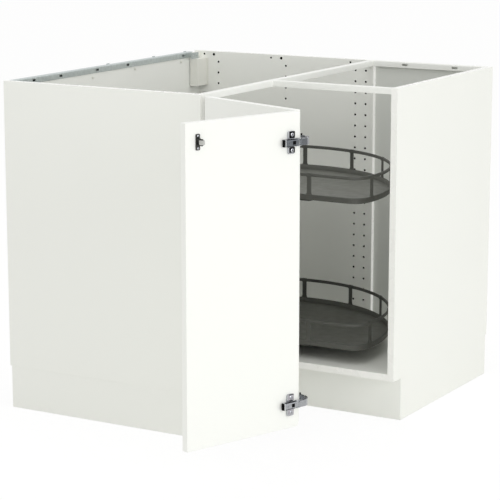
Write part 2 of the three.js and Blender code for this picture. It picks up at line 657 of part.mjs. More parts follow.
function rollerCatch() {
  const x = DOOR2_END_X - CATCH_EDGE;
  const z = DOOR_TOP - CATCH_DROP;
  const [width, height, thick] = CATCH_PLATE;
  const y0 = DOOR2_IN_Y + JOINT_GAP;
  const rollerX = x + ROLLER_SIDE;
  const rollerY = DOOR2_IN_Y + ROLLER_OUT;
  const halfRoller = ROLLER_HEIGHT / 2;
  const forkGap = halfRoller + JOINT_GAP;
  const plate = block(x - width / 2, x + width / 2, y0, y0 + thick, z - height / 2, z + height / 2);
  const fork = [-1, 1].map((side) => {
    const z0 = side > 0 ? z + forkGap : z - forkGap - 2;
    return block(rollerX - 3, rollerX + 3, y0, rollerY + 3, z0, z0 + 2);
  });
  const pin = rod("z", [rollerX, rollerY], z - forkGap - 1, z + forkGap + 1, PIN_R, 8);
  piece("catch_bracket", join([plate, ...fork, pin]), DARK_STEEL, doorFrame);
  const wheel = rod("z", [rollerX, rollerY], z - halfRoller, z + halfRoller, ROLLER_R, 20);
  const bore = rod("z", [rollerX, rollerY], z - 9, z + 9, PIN_R + PIN_CLEARANCE, 8);
  piece("catch_roller", cut(wheel, [bore]), PALE_PLASTIC, doorFrame);
  const [deep, wide, tall] = KEEPER;
  const keeperX = LENGTH - BOARD;
  const keeperY = rollerY - 5;
  piece(
    "catch_keeper",
    block(keeperX - deep, keeperX, keeperY, keeperY + wide, z - tall / 2, z + tall / 2),
    PALE_PLASTIC,
  );
}

// ---------- carousel ----------
const carousel = new THREE.Group();
carousel.position.set(AXIS_INSET, AXIS_INSET, 0);
root.add(carousel);

// Points along an arc, angles in radians, the last point included.
function arc(cx, cy, radius, from, to, steps) {
  const points = [];
  for (let i = 0; i <= steps; i++) {
    const angle = from + ((to - from) * i) / steps;
    points.push([cx + radius * Math.cos(angle), cy + radius * Math.sin(angle)]);
  }
  return points;
}

// The three-quarter-round outline, drawn about the axis. A shrink moves every side inwards.
function trayShape(shrink) {
  const big = TRAY_R - shrink;
  const side = TRAY_NOTCH - shrink; // the straight sides, from the axis
  const r = TRAY_CORNER_R - shrink;
  const inner = TRAY_INNER_R + shrink;
  const reach = Math.sqrt((big - r) ** 2 - (side - r) ** 2);
  const tangent = Math.atan2(side - r, reach);
  const quarter = Math.PI / 2;
  return outline([
    ...arc(reach, r - side, r, -quarter, -tangent, 9),
    ...arc(0, 0, big, -tangent, 3 * quarter + tangent, 54).slice(1),
    ...arc(side - r, -reach, r, 3 * quarter + tangent, 4 * quarter, 9).slice(1),
    ...arc(side + inner, -side - inner, inner, 2 * quarter, quarter, 6),
  ]);
}

function ringOf(z0, z1, outerShrink, thick) {
  const body = slab(trayShape(outerShrink), z0, z1);
  return body.subtract(slab(trayShape(outerShrink + thick), z0 - 1, z1 + 1));
}

function postStations() {
  const stations = [];
  const last = 270 - TRAY_FIRST_POST_DEG;
  for (let i = 0; i < TRAY_ARC_POSTS; i++) {
    const angle = TRAY_FIRST_POST_DEG + ((last - TRAY_FIRST_POST_DEG) * i) / (TRAY_ARC_POSTS - 1);
    stations.push({ angle, radius: TRAY_R, along: 0 });
  }
  stations.push({ angle: -90, radius: TRAY_NOTCH, along: TRAY_SIDE_POST });
  stations.push({ angle: 0, radius: TRAY_NOTCH, along: -TRAY_SIDE_POST });
  return stations;
}

// A flat upright, wider at its foot, facing outwards at its station.
function trayPost({ angle, radius, along: offset }, z0, z1) {
  const half = TRAY_POST_W / 2;
  const foot = TRAY_POST_FOOT / 2;
  const shape = outline([
    [-foot, z0],
    [foot, z0],
    [half, z0 + TRAY_POST_FLARE],
    [half, z1],
    [-half, z1],
    [-half, z0 + TRAY_POST_FLARE],
  ]);
  const post = new THREE.ExtrudeGeometry(shape, { depth: TRAY_POST_T, bevelEnabled: false });
  post.rotateX(Math.PI / 2);
  post.rotateZ(Math.PI / 2);
  post.translate(radius - TRAY_POST_INSET - TRAY_POST_T, offset, 0);
  post.rotateZ(rad(angle));
  return solid(post);
}

function traySet(prefix, top) {
  const base = top - TRAY_HEIGHT;
  const floorTop = base + TRAY_FLOOR_T;
  const rimTop = base + TRAY_RIM_H;
  const railBottom = top - TRAY_RAIL_H;
  const hole = rod("z", [0, 0], base - 1, floorTop + 1, HUB_R + JOINT_GAP, 24);
  const inset = TRAY_RIM_T + JOINT_GAP;
  piece(`${prefix}_tray_floor`, cut(slab(trayShape(inset), base, floorTop), [hole]), ANTHRACITE, carousel);
  const rim = ringOf(base, rimTop, 0, TRAY_RIM_T);
  const rail = ringOf(railBottom, top, 0, TRAY_RAIL_T);
  const posts = postStations().map((station) => trayPost(station, rimTop - 1, railBottom + 1));
  piece(`${prefix}_tray_railing`, join([rim, rail, ...posts]), ANTHRACITE, carousel);
  const plateTop = base;
  const plateBottom = base - TRAY_PLATE_T;
  const bore = POST_R + HUB_CLEARANCE;
  const disc = rod("z", [0, 0], plateBottom, plateTop, TRAY_PLATE_R, 40);
  const trimmed = disc.intersect(slab(trayShape(1), plateBottom - 1, plateTop + 1));
  const plateHole = rod("z", [0, 0], plateBottom - 1, plateTop + 1, HUB_R + JOINT_GAP, 24);
  piece(`${prefix}_tray_support`, cut(trimmed, [plateHole]), DARK_STEEL, carousel);
  const hubBottom = plateBottom - 6;
  const hubShell = rod("z", [0, 0], hubBottom, hubBottom + HUB_H, HUB_R, 24);
  const skirt = rod("z", [0, 0], hubBottom, plateBottom, HUB_R + 14, 24);
  const hubBore = rod("z", [0, 0], hubBottom - 1, hubBottom + HUB_H + 1, bore, 24);
  piece(`${prefix}_tray_hub`, cut(join([hubShell, skirt]), [hubBore]), BLACK_PLASTIC, carousel);
  bearing(prefix, hubBottom);
}

// The collar fixed to the post, with a thrust washer as its top.
function bearing(prefix, hubBottom) {
  const washerBottom = hubBottom - WASHER_T;
  const collarBottom = washerBottom - COLLAR_H;
  const washer = rod("z", [0, 0], washerBottom, hubBottom, COLLAR_R + 4, 24);
  const collar = rod("z", [0, 0], collarBottom, washerBottom, COLLAR_R, 24);
  const bore = rod("z", [0, 0], collarBottom - 1, hubBottom + 1, POST_R + JOINT_GAP, 24);
  piece(`${prefix}_bearing_collar`, cut(join([washer, collar]), [bore]), ZINC_STEEL, carousel);
}

function postAndFlange() {
  const z0 = BOTTOM_TOP;
  const plate = rod("z", [0, 0], z0, z0 + FLANGE_T, FLANGE_R, 32);
  const boss = rod("z", [0, 0], z0, z0 + FLANGE_BOSS_H, FLANGE_BOSS_R, 24);
  const socket = rod("z", [0, 0], z0 + FLANGE_T, z0 + FLANGE_BOSS_H + 1, POST_R + JOINT_GAP, 24);
  piece("post_flange", cut(join([plate, boss]), [socket]), ZINC_STEEL, carousel);
  const post = rod("z", [0, 0], z0 + FLANGE_T, POST_TOP, POST_R, 24);
  const cap = rod("z", [0, 0], POST_TOP - 1, POST_TOP + CAP_T, CAP_R, 24);
  piece("carousel_post", join([post, cap]), ANTHRACITE, carousel);
}

sidePanels();
bottomsAndBacks();
rails();
cornerHanger();
legs();
plinths();
doors();
cabinetHinges();
foldHinges();
rollerCatch();
postAndFlange();
traySet("lower", BOTTOM_TOP + LOWER_TRAY_RISE);
traySet("upper", BOTTOM_TOP + UPPER_TRAY_RISE);

export default root;
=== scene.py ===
"""Corner base cabinet with folding doors and a two-tray carousel: fine surfaces, materials, camera and light.

Pieces are drawn in millimetres, x to the right, y away from the viewer and z up, in one of three frames,
and then moved to the part frame: ROOM, with the cabinet's front left corner at 0, 0; DOORS, the same with
both doors closed; TRAYS, centred on the carousel's axis.
"""

import math

import bmesh
import bpy
from mathutils import Matrix, Vector

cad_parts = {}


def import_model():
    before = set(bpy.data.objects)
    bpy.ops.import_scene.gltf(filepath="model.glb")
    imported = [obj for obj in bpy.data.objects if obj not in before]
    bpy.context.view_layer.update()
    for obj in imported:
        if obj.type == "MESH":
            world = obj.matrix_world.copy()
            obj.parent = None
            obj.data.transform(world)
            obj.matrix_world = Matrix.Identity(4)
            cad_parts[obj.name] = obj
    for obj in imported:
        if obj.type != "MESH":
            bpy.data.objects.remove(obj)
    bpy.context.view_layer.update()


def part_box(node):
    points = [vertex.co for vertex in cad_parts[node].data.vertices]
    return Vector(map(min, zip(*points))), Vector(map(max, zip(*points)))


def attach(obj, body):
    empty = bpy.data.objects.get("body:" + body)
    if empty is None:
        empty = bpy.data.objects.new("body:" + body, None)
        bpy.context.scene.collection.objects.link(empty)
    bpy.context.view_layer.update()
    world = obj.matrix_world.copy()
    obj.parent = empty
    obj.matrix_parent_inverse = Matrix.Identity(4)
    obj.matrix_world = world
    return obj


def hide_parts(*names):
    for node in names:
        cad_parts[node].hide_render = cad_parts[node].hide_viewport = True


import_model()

# ---------- driving sizes ----------
MM = 0.001
WALL = 960  # both wall sides of the L
DEPTH = 600  # front of the left leg, an x
STEP = 360  # front of the right leg, a y
AXIS = 480  # the carousel's axis, an x and a y
BOARD = 18
FLOOR_BOARD = 16
INSIDE = WALL - BOARD  # inner faces of the rear and right side panels
LEG = 114.3
TOP = LEG + 762
DOOR_BOTTOM, DOOR_TOP = LEG + 4, TOP - 4
DOOR_1_BACK = DEPTH + 2  # an x, closed
DOOR_2_BACK = STEP - 2  # a y, closed
LEVELS = {"upper": DOOR_TOP - 70, "lower": DOOR_BOTTOM + 58}  # of the hinges
SWING_LINE = Vector((615, 5, 0))  # the upright line that door 1 opens about
OPENING = math.radians(-110)

ROOM = Matrix.Scale(MM, 4) @ Matrix.Translation((-AXIS, -AXIS, 0))
OPENED = Matrix.Translation(SWING_LINE) @ Matrix.Rotation(OPENING, 4, "Z") @ Matrix.Translation(-SWING_LINE)
DOORS = ROOM @ OPENED
TRAYS = Matrix.Scale(MM, 4)
ALONG_Y = Matrix.Rotation(math.radians(90), 4, "Z")


# ---------- outlines, in a plane ----------
def arc(centre, r, start, end, steps, squash=1.0):
    """Points on an arc between two angles in degrees, its height scaled by squash."""
    turns = [math.radians(start + (end - start) * i / steps) for i in range(steps + 1)]
    return [(centre[0] + r * math.cos(t), centre[1] + r * squash * math.sin(t)) for t in turns]


def circle(u, v, r, steps=24):
    return arc((u, v), r, 0, 360, steps)[:-1]


def rounded(u0, u1, v0, v1, r, steps=5):
    """A rectangle with round corners."""
    centres = ((u1 - r, v0 + r), (u1 - r, v1 - r), (u0 + r, v1 - r), (u0 + r, v0 + r))
    return [p for k, c in enumerate(centres) for p in arc(c, r, 90 * k - 90, 90 * k, steps)]


def smooth(points, count):
    """A Catmull-Rom curve through points, with count steps between each two."""

    def blend(a, b, c, d, t):
        square, cube = 2 * a - 5 * b + 4 * c - d, 3 * b - a - 3 * c + d
        return 0.5 * (2 * b + (c - a) * t + square * t**2 + cube * t**3)

    ends = [points[0], *points, points[-1]]
    curve = []
    for four in zip(ends, ends[1:], ends[2:], ends[3:]):
        curve += [tuple(blend(*values, i / count) for values in zip(*four)) for i in range(count)]
    return curve + [points[-1]]


def offset(path, d):
    """A path moved sideways to its left by d."""
    moved = []
    for i, (x, y) in enumerate(path):
        ax, ay = path[max(i - 1, 0)]
        bx, by = path[min(i + 1, len(path) - 1)]
        length = math.hypot(bx - ax, by - ay)
        moved.append((x - (by - ay) / length * d, y + (bx - ax) / length * d))
    return moved


def bar(path, half):
    """The outline of a bar of constant width along a path, with round ends."""
    left, right = offset(path, half), offset(path, -half)

    def cap(centre, start):
        turn = math.degrees(math.atan2(start[1] - centre[1], start[0] - centre[0]))
        return arc(centre, half, turn - 22.5, turn - 157.5, 6)

    return left + cap(path[-1], left[-1]) + right[::-1] + cap(path[0], right[0])


def mirrored(level, near, far):
    """The spans from near to far below a level and above it."""
    return (level - far, level - near), (level + near, level + far)


# ---------- solids ----------
def placed(name, data):
    """A new object in the scene."""
    o = bpy.data.objects.new(name, data)
    bpy.context.scene.collection.objects.link(o)
    return o


def put(axis, u, v, w):
    """A point at u, v in the plane across an axis, and at level w along it."""
    return {"z": (u, v, w), "y": (u, w, v), "x": (w, u, v)}[axis]


def box(bm, x0, x1, y0, y1, z0, z1):
    c = [bm.verts.new((x, y, z)) for z in (z0, z1) for y in (y0, y1) for x in (x0, x1)]
    for ring in ((0, 2, 3, 1), (4, 5, 7, 6), (0, 1, 5, 4), (2, 6, 7, 3), (0, 4, 6, 2), (1, 3, 7, 5)):
        bm.faces.new([c[i] for i in ring])


def prism(bm, outer, w0, w1, axis="z", holes=()):
    """A plate of the given outline between two levels along an axis, with any holes cut through."""
    levels = []
    for w in (w0, w1):
        rings = [[bm.verts.new(put(axis, u, v, w)) for u, v in loop] for loop in (outer, *holes)]
        if holes:
            edges = [bm.edges.new((ring[i - 1], ring[i])) for ring in rings for i in range(len(ring))]
            bmesh.ops.triangle_fill(bm, use_beauty=True, edges=edges)
        else:
            bm.faces.new(rings[0])
        levels.append(rings)
    for low, high in zip(*levels):
        for i in range(len(low)):
            bm.faces.new((low[i - 1], low[i], high[i], high[i - 1]))


def lathe(bm, profile, centre=(0, 0), axis="z", steps=40):
    """Turns a profile of (radius, level) about an axis. A radius of 0 is a pole."""
    rings = []
    for r, h in profile:
        points = circle(*centre, r, steps) if r else [centre]
        rings.append([bm.verts.new(put(axis, u, v, h)) for u, v in points])
    pairs = list(zip(rings, rings[1:]))
    if profile[0][0] and profile[-1][0]:
        pairs.append((rings[-1], rings[0]))
    for a, b in pairs:
        for i in range(steps):
            j = (i + 1) % steps
            around = dict.fromkeys((a[i % len(a)], a[j % len(a)], b[j % len(b)], b[i % len(b)]))
            if len(around) > 2:
                bm.faces.new(list(around))


def cylinder(bm, at, r, low, high, axis="z", steps=24):
    lathe(bm, [(0, low), (r, low), (r, high), (0, high)], at, axis, steps)


def loft(bm, loops):
    """Joins closed loops of 3-D points, ring by ring, the last to the first."""
    rings = [[bm.verts.new(p) for p in loop] for loop in loops]
    for a, b in zip(rings, rings[1:] + rings[:1]):
        for i in range(len(a)):
            bm.faces.new((a[i - 1], a[i], b[i], b[i - 1]))


def merge(bm, part, place=Matrix()):
    """Moves one bmesh into place, adds it to another and frees it."""
    part.transform(place)
    mesh = bpy.data.meshes.new("part")
    part.to_mesh(mesh)
    part.free()
    bm.from_mesh(mesh)
    bpy.data.meshes.remove(mesh)


def carved(bm, tools):
    """A new bmesh: bm with the tools' solids taken away. Both are freed."""
    objects = []
    for part in (bm, tools):
        bmesh.ops.recalc_face_normals(part, faces=part.faces)
        mesh = bpy.data.meshes.new("carving")
        part.to_mesh(mesh)
        part.free()
        objects.append(placed("carving", mesh))
    body, tool = objects
    change = body.modifiers.new("cut", "BOOLEAN")
    change.operation, change.solver, change.object = "DIFFERENCE", "EXACT", tool
    depsgraph = bpy.context.evaluated_depsgraph_get()
    result = bmesh.new()
    result.from_mesh(body.evaluated_get(depsgraph).to_mesh())
    for o in objects:
        mesh = o.data
        bpy.data.objects.remove(o)
        bpy.data.meshes.remove(mesh)
    return result


def piece(name, bm, body, slot, *materials, place=ROOM, bevel=0.0, replaces=(), angle=32, segments=2):
    """Finishes a bmesh as a piece that rides on a body. Edges past angle are bevelled or stay sharp."""
    bmesh.ops.recalc_face_normals(bm, faces=bm.faces)
    mesh = bpy.data.meshes.new(name)
    bm.to_mesh(mesh)
    bm.free()
    mesh.transform(place)
    for m in materials:
        mesh.materials.append(m)
    mesh.shade_smooth()
    o = placed(name, mesh)
    if bevel:
        b = o.modifiers.new("edges", "BEVEL")
        b.width, b.segments = bevel * MM, segments
        b.limit_method, b.angle_limit = "ANGLE", math.radians(angle)
        b.harden_normals = True
        b.use_clamp_overlap = True
    else:
        mesh.set_sharp_from_angle(angle=math.radians(angle))
    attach(o, body)
    if replaces:
        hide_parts(*replaces)
    return o


# ---------- materials ----------
def linear(rgb):
    """A colour of three levels to 255, as the linear values that a shader takes."""
    shares = [c / 255 for c in rgb]
    return [s / 12.92 if s <= 0.04045 else ((s + 0.055) / 1.055) ** 2.4 for s in shares]


def surface(name, rgb, roughness, tone, gloss, bump, metallic=0.0, specular=0.5, coat=0.0, stretch=(1, 1, 1)):
    """A Principled surface with uneven colour and gloss and a fine relief.

    tone and gloss are (noise scale per metre, share or roughness either way).
    bump is (noise scale per metre, millimetres).
    """
    m = bpy.data.materials.new(name)
    m.use_nodes = True
    nodes, links = m.node_tree.nodes, m.node_tree.links
    shader = nodes["Principled BSDF"]
    shader.inputs["Metallic"].default_value = metallic
    shader.inputs["Specular IOR Level"].default_value = specular
    shader.inputs["Coat Weight"].default_value = coat
    shader.inputs["Coat Roughness"].default_value = 0.12
    where = nodes.new("ShaderNodeTexCoord")
    turn = nodes.new("ShaderNodeMapping")
    turn.inputs["Scale"].default_value = stretch
    links.new(where.outputs["Object"], turn.inputs["Vector"])

    def noise(scale, detail=3.0):
        n = nodes.new("ShaderNodeTexNoise")
        n.inputs["Scale"].default_value = scale
        n.inputs["Detail"].default_value = detail
        links.new(turn.outputs["Vector"], n.inputs["Vector"])
        return n

    mix = nodes.new("ShaderNodeMix")
    mix.data_type = "RGBA"
    for socket, factor in ((6, 1 - tone[1]), (7, 1 + tone[1])):
        mix.inputs[socket].default_value = (*(min(1, c * factor) for c in linear(rgb)), 1)
    links.new(noise(tone[0]).outputs["Fac"], mix.inputs[0])
    links.new(mix.outputs[2], shader.inputs["Base Color"])
    span = nodes.new("ShaderNodeMapRange")
    span.inputs["From Min"].default_value = 0.3
    span.inputs["From Max"].default_value = 0.7
    span.inputs["To Min"].default_value = max(0.02, roughness - gloss[1])
    span.inputs["To Max"].default_value = min(1.0, roughness + gloss[1])
    links.new(noise(gloss[0]).outputs["Fac"], span.inputs["Value"])
    links.new(span.outputs["Result"], shader.inputs["Roughness"])
    relief = nodes.new("ShaderNodeBump")
    relief.inputs["Strength"].default_value = 1.0
    relief.inputs["Distance"].default_value = bump[1] * MM
    links.new(noise(bump[0], 2.0).outputs["Fac"], relief.inputs["Height"])
    links.new(relief.outputs["Normal"], shader.inputs["Normal"])
    return m


def galvanised(name, rgb):
    """Zinc with faint crystals a few millimetres across."""
    m = surface(name, rgb, 0.42, (30, 0.06), (60, 0.08), (500, 0.01), metallic=0.75)
    nodes, links = m.node_tree.nodes, m.node_tree.links
    crystals = nodes.new("ShaderNodeTexVoronoi")
    crystals.inputs["Scale"].default_value = 170
    where = next(n for n in nodes if n.type == "TEX_COORD")
    links.new(where.outputs["Object"], crystals.inputs["Vector"])
    grey = nodes.new("ShaderNodeSeparateColor")
    links.new(crystals.outputs["Color"], grey.inputs["Color"])
    mix = next(n for n in nodes if n.type == "MIX")
    links.new(grey.outputs["Red"], mix.inputs[0])
    return m


def paint_glow(m, rgb, strength):
    """Gives a surface a weak light of its own: painted light, since the surface is no lamp."""
    shader = m.node_tree.nodes["Principled BSDF"]
    shader.inputs["Emission Color"].default_value = (*rgb, 1)
    shader.inputs["Emission Strength"].default_value = strength


WHITE = surface("white_foil", (249, 250, 245), 0.42, (2.2, 0.008), (9, 0.03), (1400, 0.002))
# Edge bands: real, and whiter than the foil as a painted highlight on the board edges.
EDGE_AND_HIGHLIGHT = surface("edge_band_and_highlight", (254, 254, 250), 0.28, (9, 0.012), (30, 0.03), (700, 0.003))
DOOR = surface("door_lacquer", (251, 252, 248), 0.3, (1.8, 0.006), (7, 0.02), (260, 0.0015), coat=0.15)
# A greyer copy of the white foil for the thin back panel: painted shade.
SHADED_BACKING = surface("backing_foil_painted_shade", (224, 226, 221), 0.5, (2.6, 0.01), (9, 0.03), (1200, 0.002))
# A grey strip that glows: painted light that makes the joint read as a bright lit line.
GLOWING_STRIP = surface("white_strip_painted_glow", (200, 200, 196), 0.3, (30, 0.02), (60, 0.05), (500, 0.01))
paint_glow(GLOWING_STRIP, (1.0, 1.0, 0.97), 0.38)
# Chipboard darkened near black, for the walls and floors of bores: painted shade in the holes.
SHADED_CORE = surface("chipboard_core_painted_shade", (30, 26, 21), 0.9, (420, 0.35), (200, 0.05), (700, 0.3), specular=0.2)
PAINTED = surface("white_painted_steel", (246, 247, 243), 0.34, (12, 0.01), (25, 0.06), (600, 0.02))
ZINC = galvanised("galvanised_steel", (194, 201, 200))
NICKEL = surface(
    "nickel_plate", (190, 192, 197), 0.2, (60, 0.1), (160, 0.07), (420, 0.03), 1.0, stretch=(1, 1, 6)
)
# Copies of nickel for the hinges: a dark one with streaks of tone, painted dark reflection and shade, for the
# upper hinge; a light one, painted highlight, for the lower.
DARK_REFLECTION_NICKEL = surface(
    "dark_nickel_painted_reflection", (120, 124, 129), 0.24, (140, 0.35), (160, 0.08), (420, 0.04), 1.0, stretch=(1, 1, 0.35)
)
HIGHLIGHT_NICKEL = surface("light_nickel_painted_highlight", (176, 178, 183), 0.24, (140, 0.2), (160, 0.08), (420, 0.04), metallic=1.0)
# Pale matt nickel for the lower hinge's plate recesses: painted light, where the upper hinge's are near
# black.
LIT_MATT_NICKEL = surface("matt_nickel_painted_light", (186, 183, 190), 0.36, (170, 0.18), (160, 0.08), (420, 0.04), metallic=0.9)
# Near black for the upper hinge's plate recesses, the recess ends and the gooseneck's inside: painted shade
# and painted dark reflection.
PAINTED_SHADE_BLACK = surface("painted_shade_black", (12, 13, 14), 0.5, (260, 0.2), (120, 0.08), (900, 0.03), specular=0.1)
SCREW = surface("screw_zinc", (216, 218, 220), 0.26, (200, 0.1), (300, 0.08), (900, 0.02), metallic=0.9)
DARK = surface("dark_steel", (66, 67, 64), 0.42, (90, 0.12), (120, 0.08), (700, 0.03), metallic=0.6)
GRAPHITE = surface("powder_coat", (86, 87, 82), 0.5, (1500, 0.1), (90, 0.06), (1500, 0.06), specular=0.45)
FLOORING = surface("tray_floor_coat", (103, 104, 98), 0.46, (900, 0.09), (40, 0.06), (1100, 0.05))
BLACK = surface("black_plastic", (6, 6, 7), 0.5, (300, 0.12), (80, 0.08), (1300, 0.04), specular=0.06)
ROLLER = surface("roller_plastic", (186, 187, 183), 0.3, (60, 0.04), (60, 0.07), (900, 0.01))
PALE = surface("pale_plastic", (240, 240, 233), 0.4, (40, 0.02), (60, 0.07), (900, 0.02))


# ---------- fasteners ----------
def cross_head(r, h, flush):
    """A screw head about the +Z axis, with a cross recess: flush heads are flat, the others are domed."""
    if flush:
        top = 0.08
        profile = [(0, -1.5), (r * 0.55, -1.5), (r, -0.15), (r, 0), (r * 0.96, top), (0, top)]
    else:
        top = h
        profile = [(0, -1.0), (r * 0.8, -1.0), (r, -0.4), (r, h * 0.3)]
        turns = [math.pi * k / 12 for k in range(1, 6)]
        profile += [(r * math.cos(t), h * (0.3 + 0.7 * math.sin(t))) for t in turns]
        profile.append((0, h))
    bm = bmesh.new()
    lathe(bm, profile, steps=28)
    reach, half = 0.62 * r, 0.14 * r
    cross = [(reach, -half), (reach, half), (half, half), (half, reach), (-half, reach), (-half, half)]
    cross += [(-u, -v) for u, v in cross]
    tools = bmesh.new()
    prism(tools, cross, top - 0.4 * r, top + 1)
    mesh = bpy.data.meshes.new("head")
    head = carved(bm, tools)
    head.to_mesh(mesh)
    head.free()
    return mesh


HEADS = {}


def screw(bm, at, out, r, h, flush=False, turn=20):
    """Adds a screw head at a point, facing out."""
    key = (r, h, flush)
    if key not in HEADS:
        HEADS[key] = cross_head(*key)
    before = set(bm.verts)
    bm.from_mesh(HEADS[key])
    fresh = [v for v in bm.verts if v not in before]
    aim = Vector(out).to_track_quat("Z", "Y").to_matrix().to_4x4()
    place = Matrix.Translation(at) @ aim @ Matrix.Rotation(math.radians(turn), 4, "Z")
    bmesh.ops.transform(bm, matrix=place, verts=fresh)


# ---------- boards ----------
SHELF_PITCH = 32
BORE = 10  # depth of a shelf hole


def corners(node):
    """A CAD node's box in the ROOM frame: x0, x1, y0, y1, z0, z1."""
    lo, hi = (Vector(c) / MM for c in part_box(node))
    return lo.x + AXIS, hi.x + AXIS, lo.y + AXIS, hi.y + AXIS, lo.z, hi.z


def bored(bm, tools, bounds):
    """A new bmesh: a board with the tools' bores in it, whose own faces get the second material."""
    x0, x1, y0, y1, z0, z1 = bounds
    bm = carved(bm, tools)
    for f in bm.faces:
        c = f.calc_center_median()
        inside = min(c.x - x0, x1 - c.x, c.y - y0, y1 - c.y, c.z - z0, z1 - c.z)
        f.material_index = 1 if inside > 0.02 else 0
    return bm


def board(node, bevel=0.45, holes=(), face=0, side=1, skin=WHITE):
    """A laminated board in a CAD node's box, with edge bands.

    holes are (x, z, radius), bored into the face at y = face, which looks along y to the given side.
    """
    x0, x1, y0, y1, z0, z1 = corners(node)
    bm = bmesh.new()
    box(bm, x0, x1, y0, y1, z0, z1)
    if holes:
        tools = bmesh.new()
        for x, z, r in holes:
            cylinder(tools, (x, z), r, *sorted((face + side, face - side * BORE)), "y", 16)
        bm = bored(bm, tools, (x0, x1, y0, y1, z0, z1))
    spans = [x1 - x0, y1 - y0, z1 - z0]
    thin = spans.index(min(spans))
    for f in bm.faces:
        f.normal_update()
        if f.material_index == 0 and abs(f.normal[thin]) < 0.5:
            f.material_index = 2
    # The bores take the chipboard darkened as painted shade; the edges take the whitest white, partly a
    # painted highlight.
    look = (skin, SHADED_CORE, EDGE_AND_HIGHLIGHT)
    piece(node + "_board", bm, "cabinet", "white_board", *look, bevel=bevel, replaces=[node], angle=40)


def shelf_holes(columns):
    """Columns of shelf holes at the given places, and a row of odd ones near the top."""
    rows = [(x, TOP - 30.5 - SHELF_PITCH * k, 3.0) for x in columns for k in range(22)]
    odd = ((35, 2.8), (68, 4), (264, 2.8), (298, 4), (526, 2.8))
    return rows + [(x, TOP - 9, r) for x, r in odd]


# ---------- rails and wall fittings ----------
RAIL_WIDTH, RAIL_DROP, RAIL_SHEET, RAIL_FOLD = 18, 16, 1.5, 2.2
END_HOLE = 12  # from a front rail's end to its screw
SLOT_LEVEL = -8


def channel_section():
    """A channel of folded sheet, open below, seen along the rail: (across, up)."""
    w, drop, sheet, fold = RAIL_WIDTH, RAIL_DROP, RAIL_SHEET, RAIL_FOLD
    turns = (0.4, 0.8, 1.2)
    outer = [(0, -drop), (0, -fold)]
    outer += [(fold - fold * math.cos(t), fold * math.sin(t) - fold) for t in turns]
    outer += [(fold, 0), (w - fold, 0)]
    outer += [(w - fold + fold * math.sin(t), fold * math.cos(t) - fold) for t in turns]
    outer += [(w, -fold), (w, -drop)]
    inner = [(w - sheet, -drop), (w - sheet, -fold), (w - fold, -sheet)]
    return outer + inner + [(fold, -sheet), (sheet, -fold), (sheet, -drop)]


def rail(node, material, slot, place, length, slots=(), tabs=(), holes=(), size=(13, 5.5)):
    """A folded channel along +X from its own origin, its top at level 0."""
    bm = bmesh.new()
    prism(bm, channel_section(), 0, length, axis="x")
    if slots or holes:
        tools = bmesh.new()
        half, tall = size[0] / 2, size[1] / 2
        for x in slots:
            prism(tools, rounded(x - half, x + half, SLOT_LEVEL - tall, SLOT_LEVEL + tall, 1.2), -1, 3, "y")
        for x in holes:
            cylinder(tools, (x, RAIL_WIDTH / 2), 2.5, -3, 1, steps=20)
        bm = carved(bm, tools)
    for x in tabs:
        prism(bm, rounded(x - 7, x + 7, -1.4, 2, 0.6, 3), RAIL_WIDTH - RAIL_SHEET, RAIL_WIDTH, "y")
    piece(node + "_channel", bm, "cabinet", slot, material, place=ROOM @ place, bevel=0.2, replaces=[node])


def rails():
    along_back = Matrix.Translation((BOARD, BOARD, TOP)) @ ALONG_Y
    slots, tabs = (92, 213, 386, 538, 832), (462, 697, 868)
    rail("back_rail_left", ZINC, "zinc_steel", along_back, 886, slots, tabs)
    short = INSIDE - DEPTH
    at = Matrix.Translation((DEPTH, INSIDE, TOP))
    rail("back_rail_right", PAINTED, "white_steel", at, short, slots=(98.7, 251.9), size=(18, 6))
    long = INSIDE - BOARD
    at = Matrix.Translation((DEPTH, BOARD, TOP)) @ ALONG_Y
    rail("front_rail_main", PAINTED, "white_steel", at, long, holes=(END_HOLE, long - END_HOLE))
    at = Matrix.Translation((DEPTH, STEP, TOP))
    rail("front_rail_extension", PAINTED, "white_steel", at, short, holes=(END_HOLE, short - END_HOLE))


def joint_strip():
    """The rounded plastic strip down the joint of the two boxes; it glows, which is painted light."""
    outline = [(0, 0.1), (0.8, 0.2), (1.4, 0.6), (1.8, 1.3), (1.9, 3), (1.9, 10), (1.6, 11.4), (0, 11.8)]
    bm = bmesh.new()
    prism(bm, [(DEPTH + x, INSIDE + y) for x, y in outline], LEG + FLOOR_BOARD, TOP - RAIL_DROP - 0.2)
    piece("joint_strip", bm, "cabinet", "white_steel", GLOWING_STRIP, angle=50)


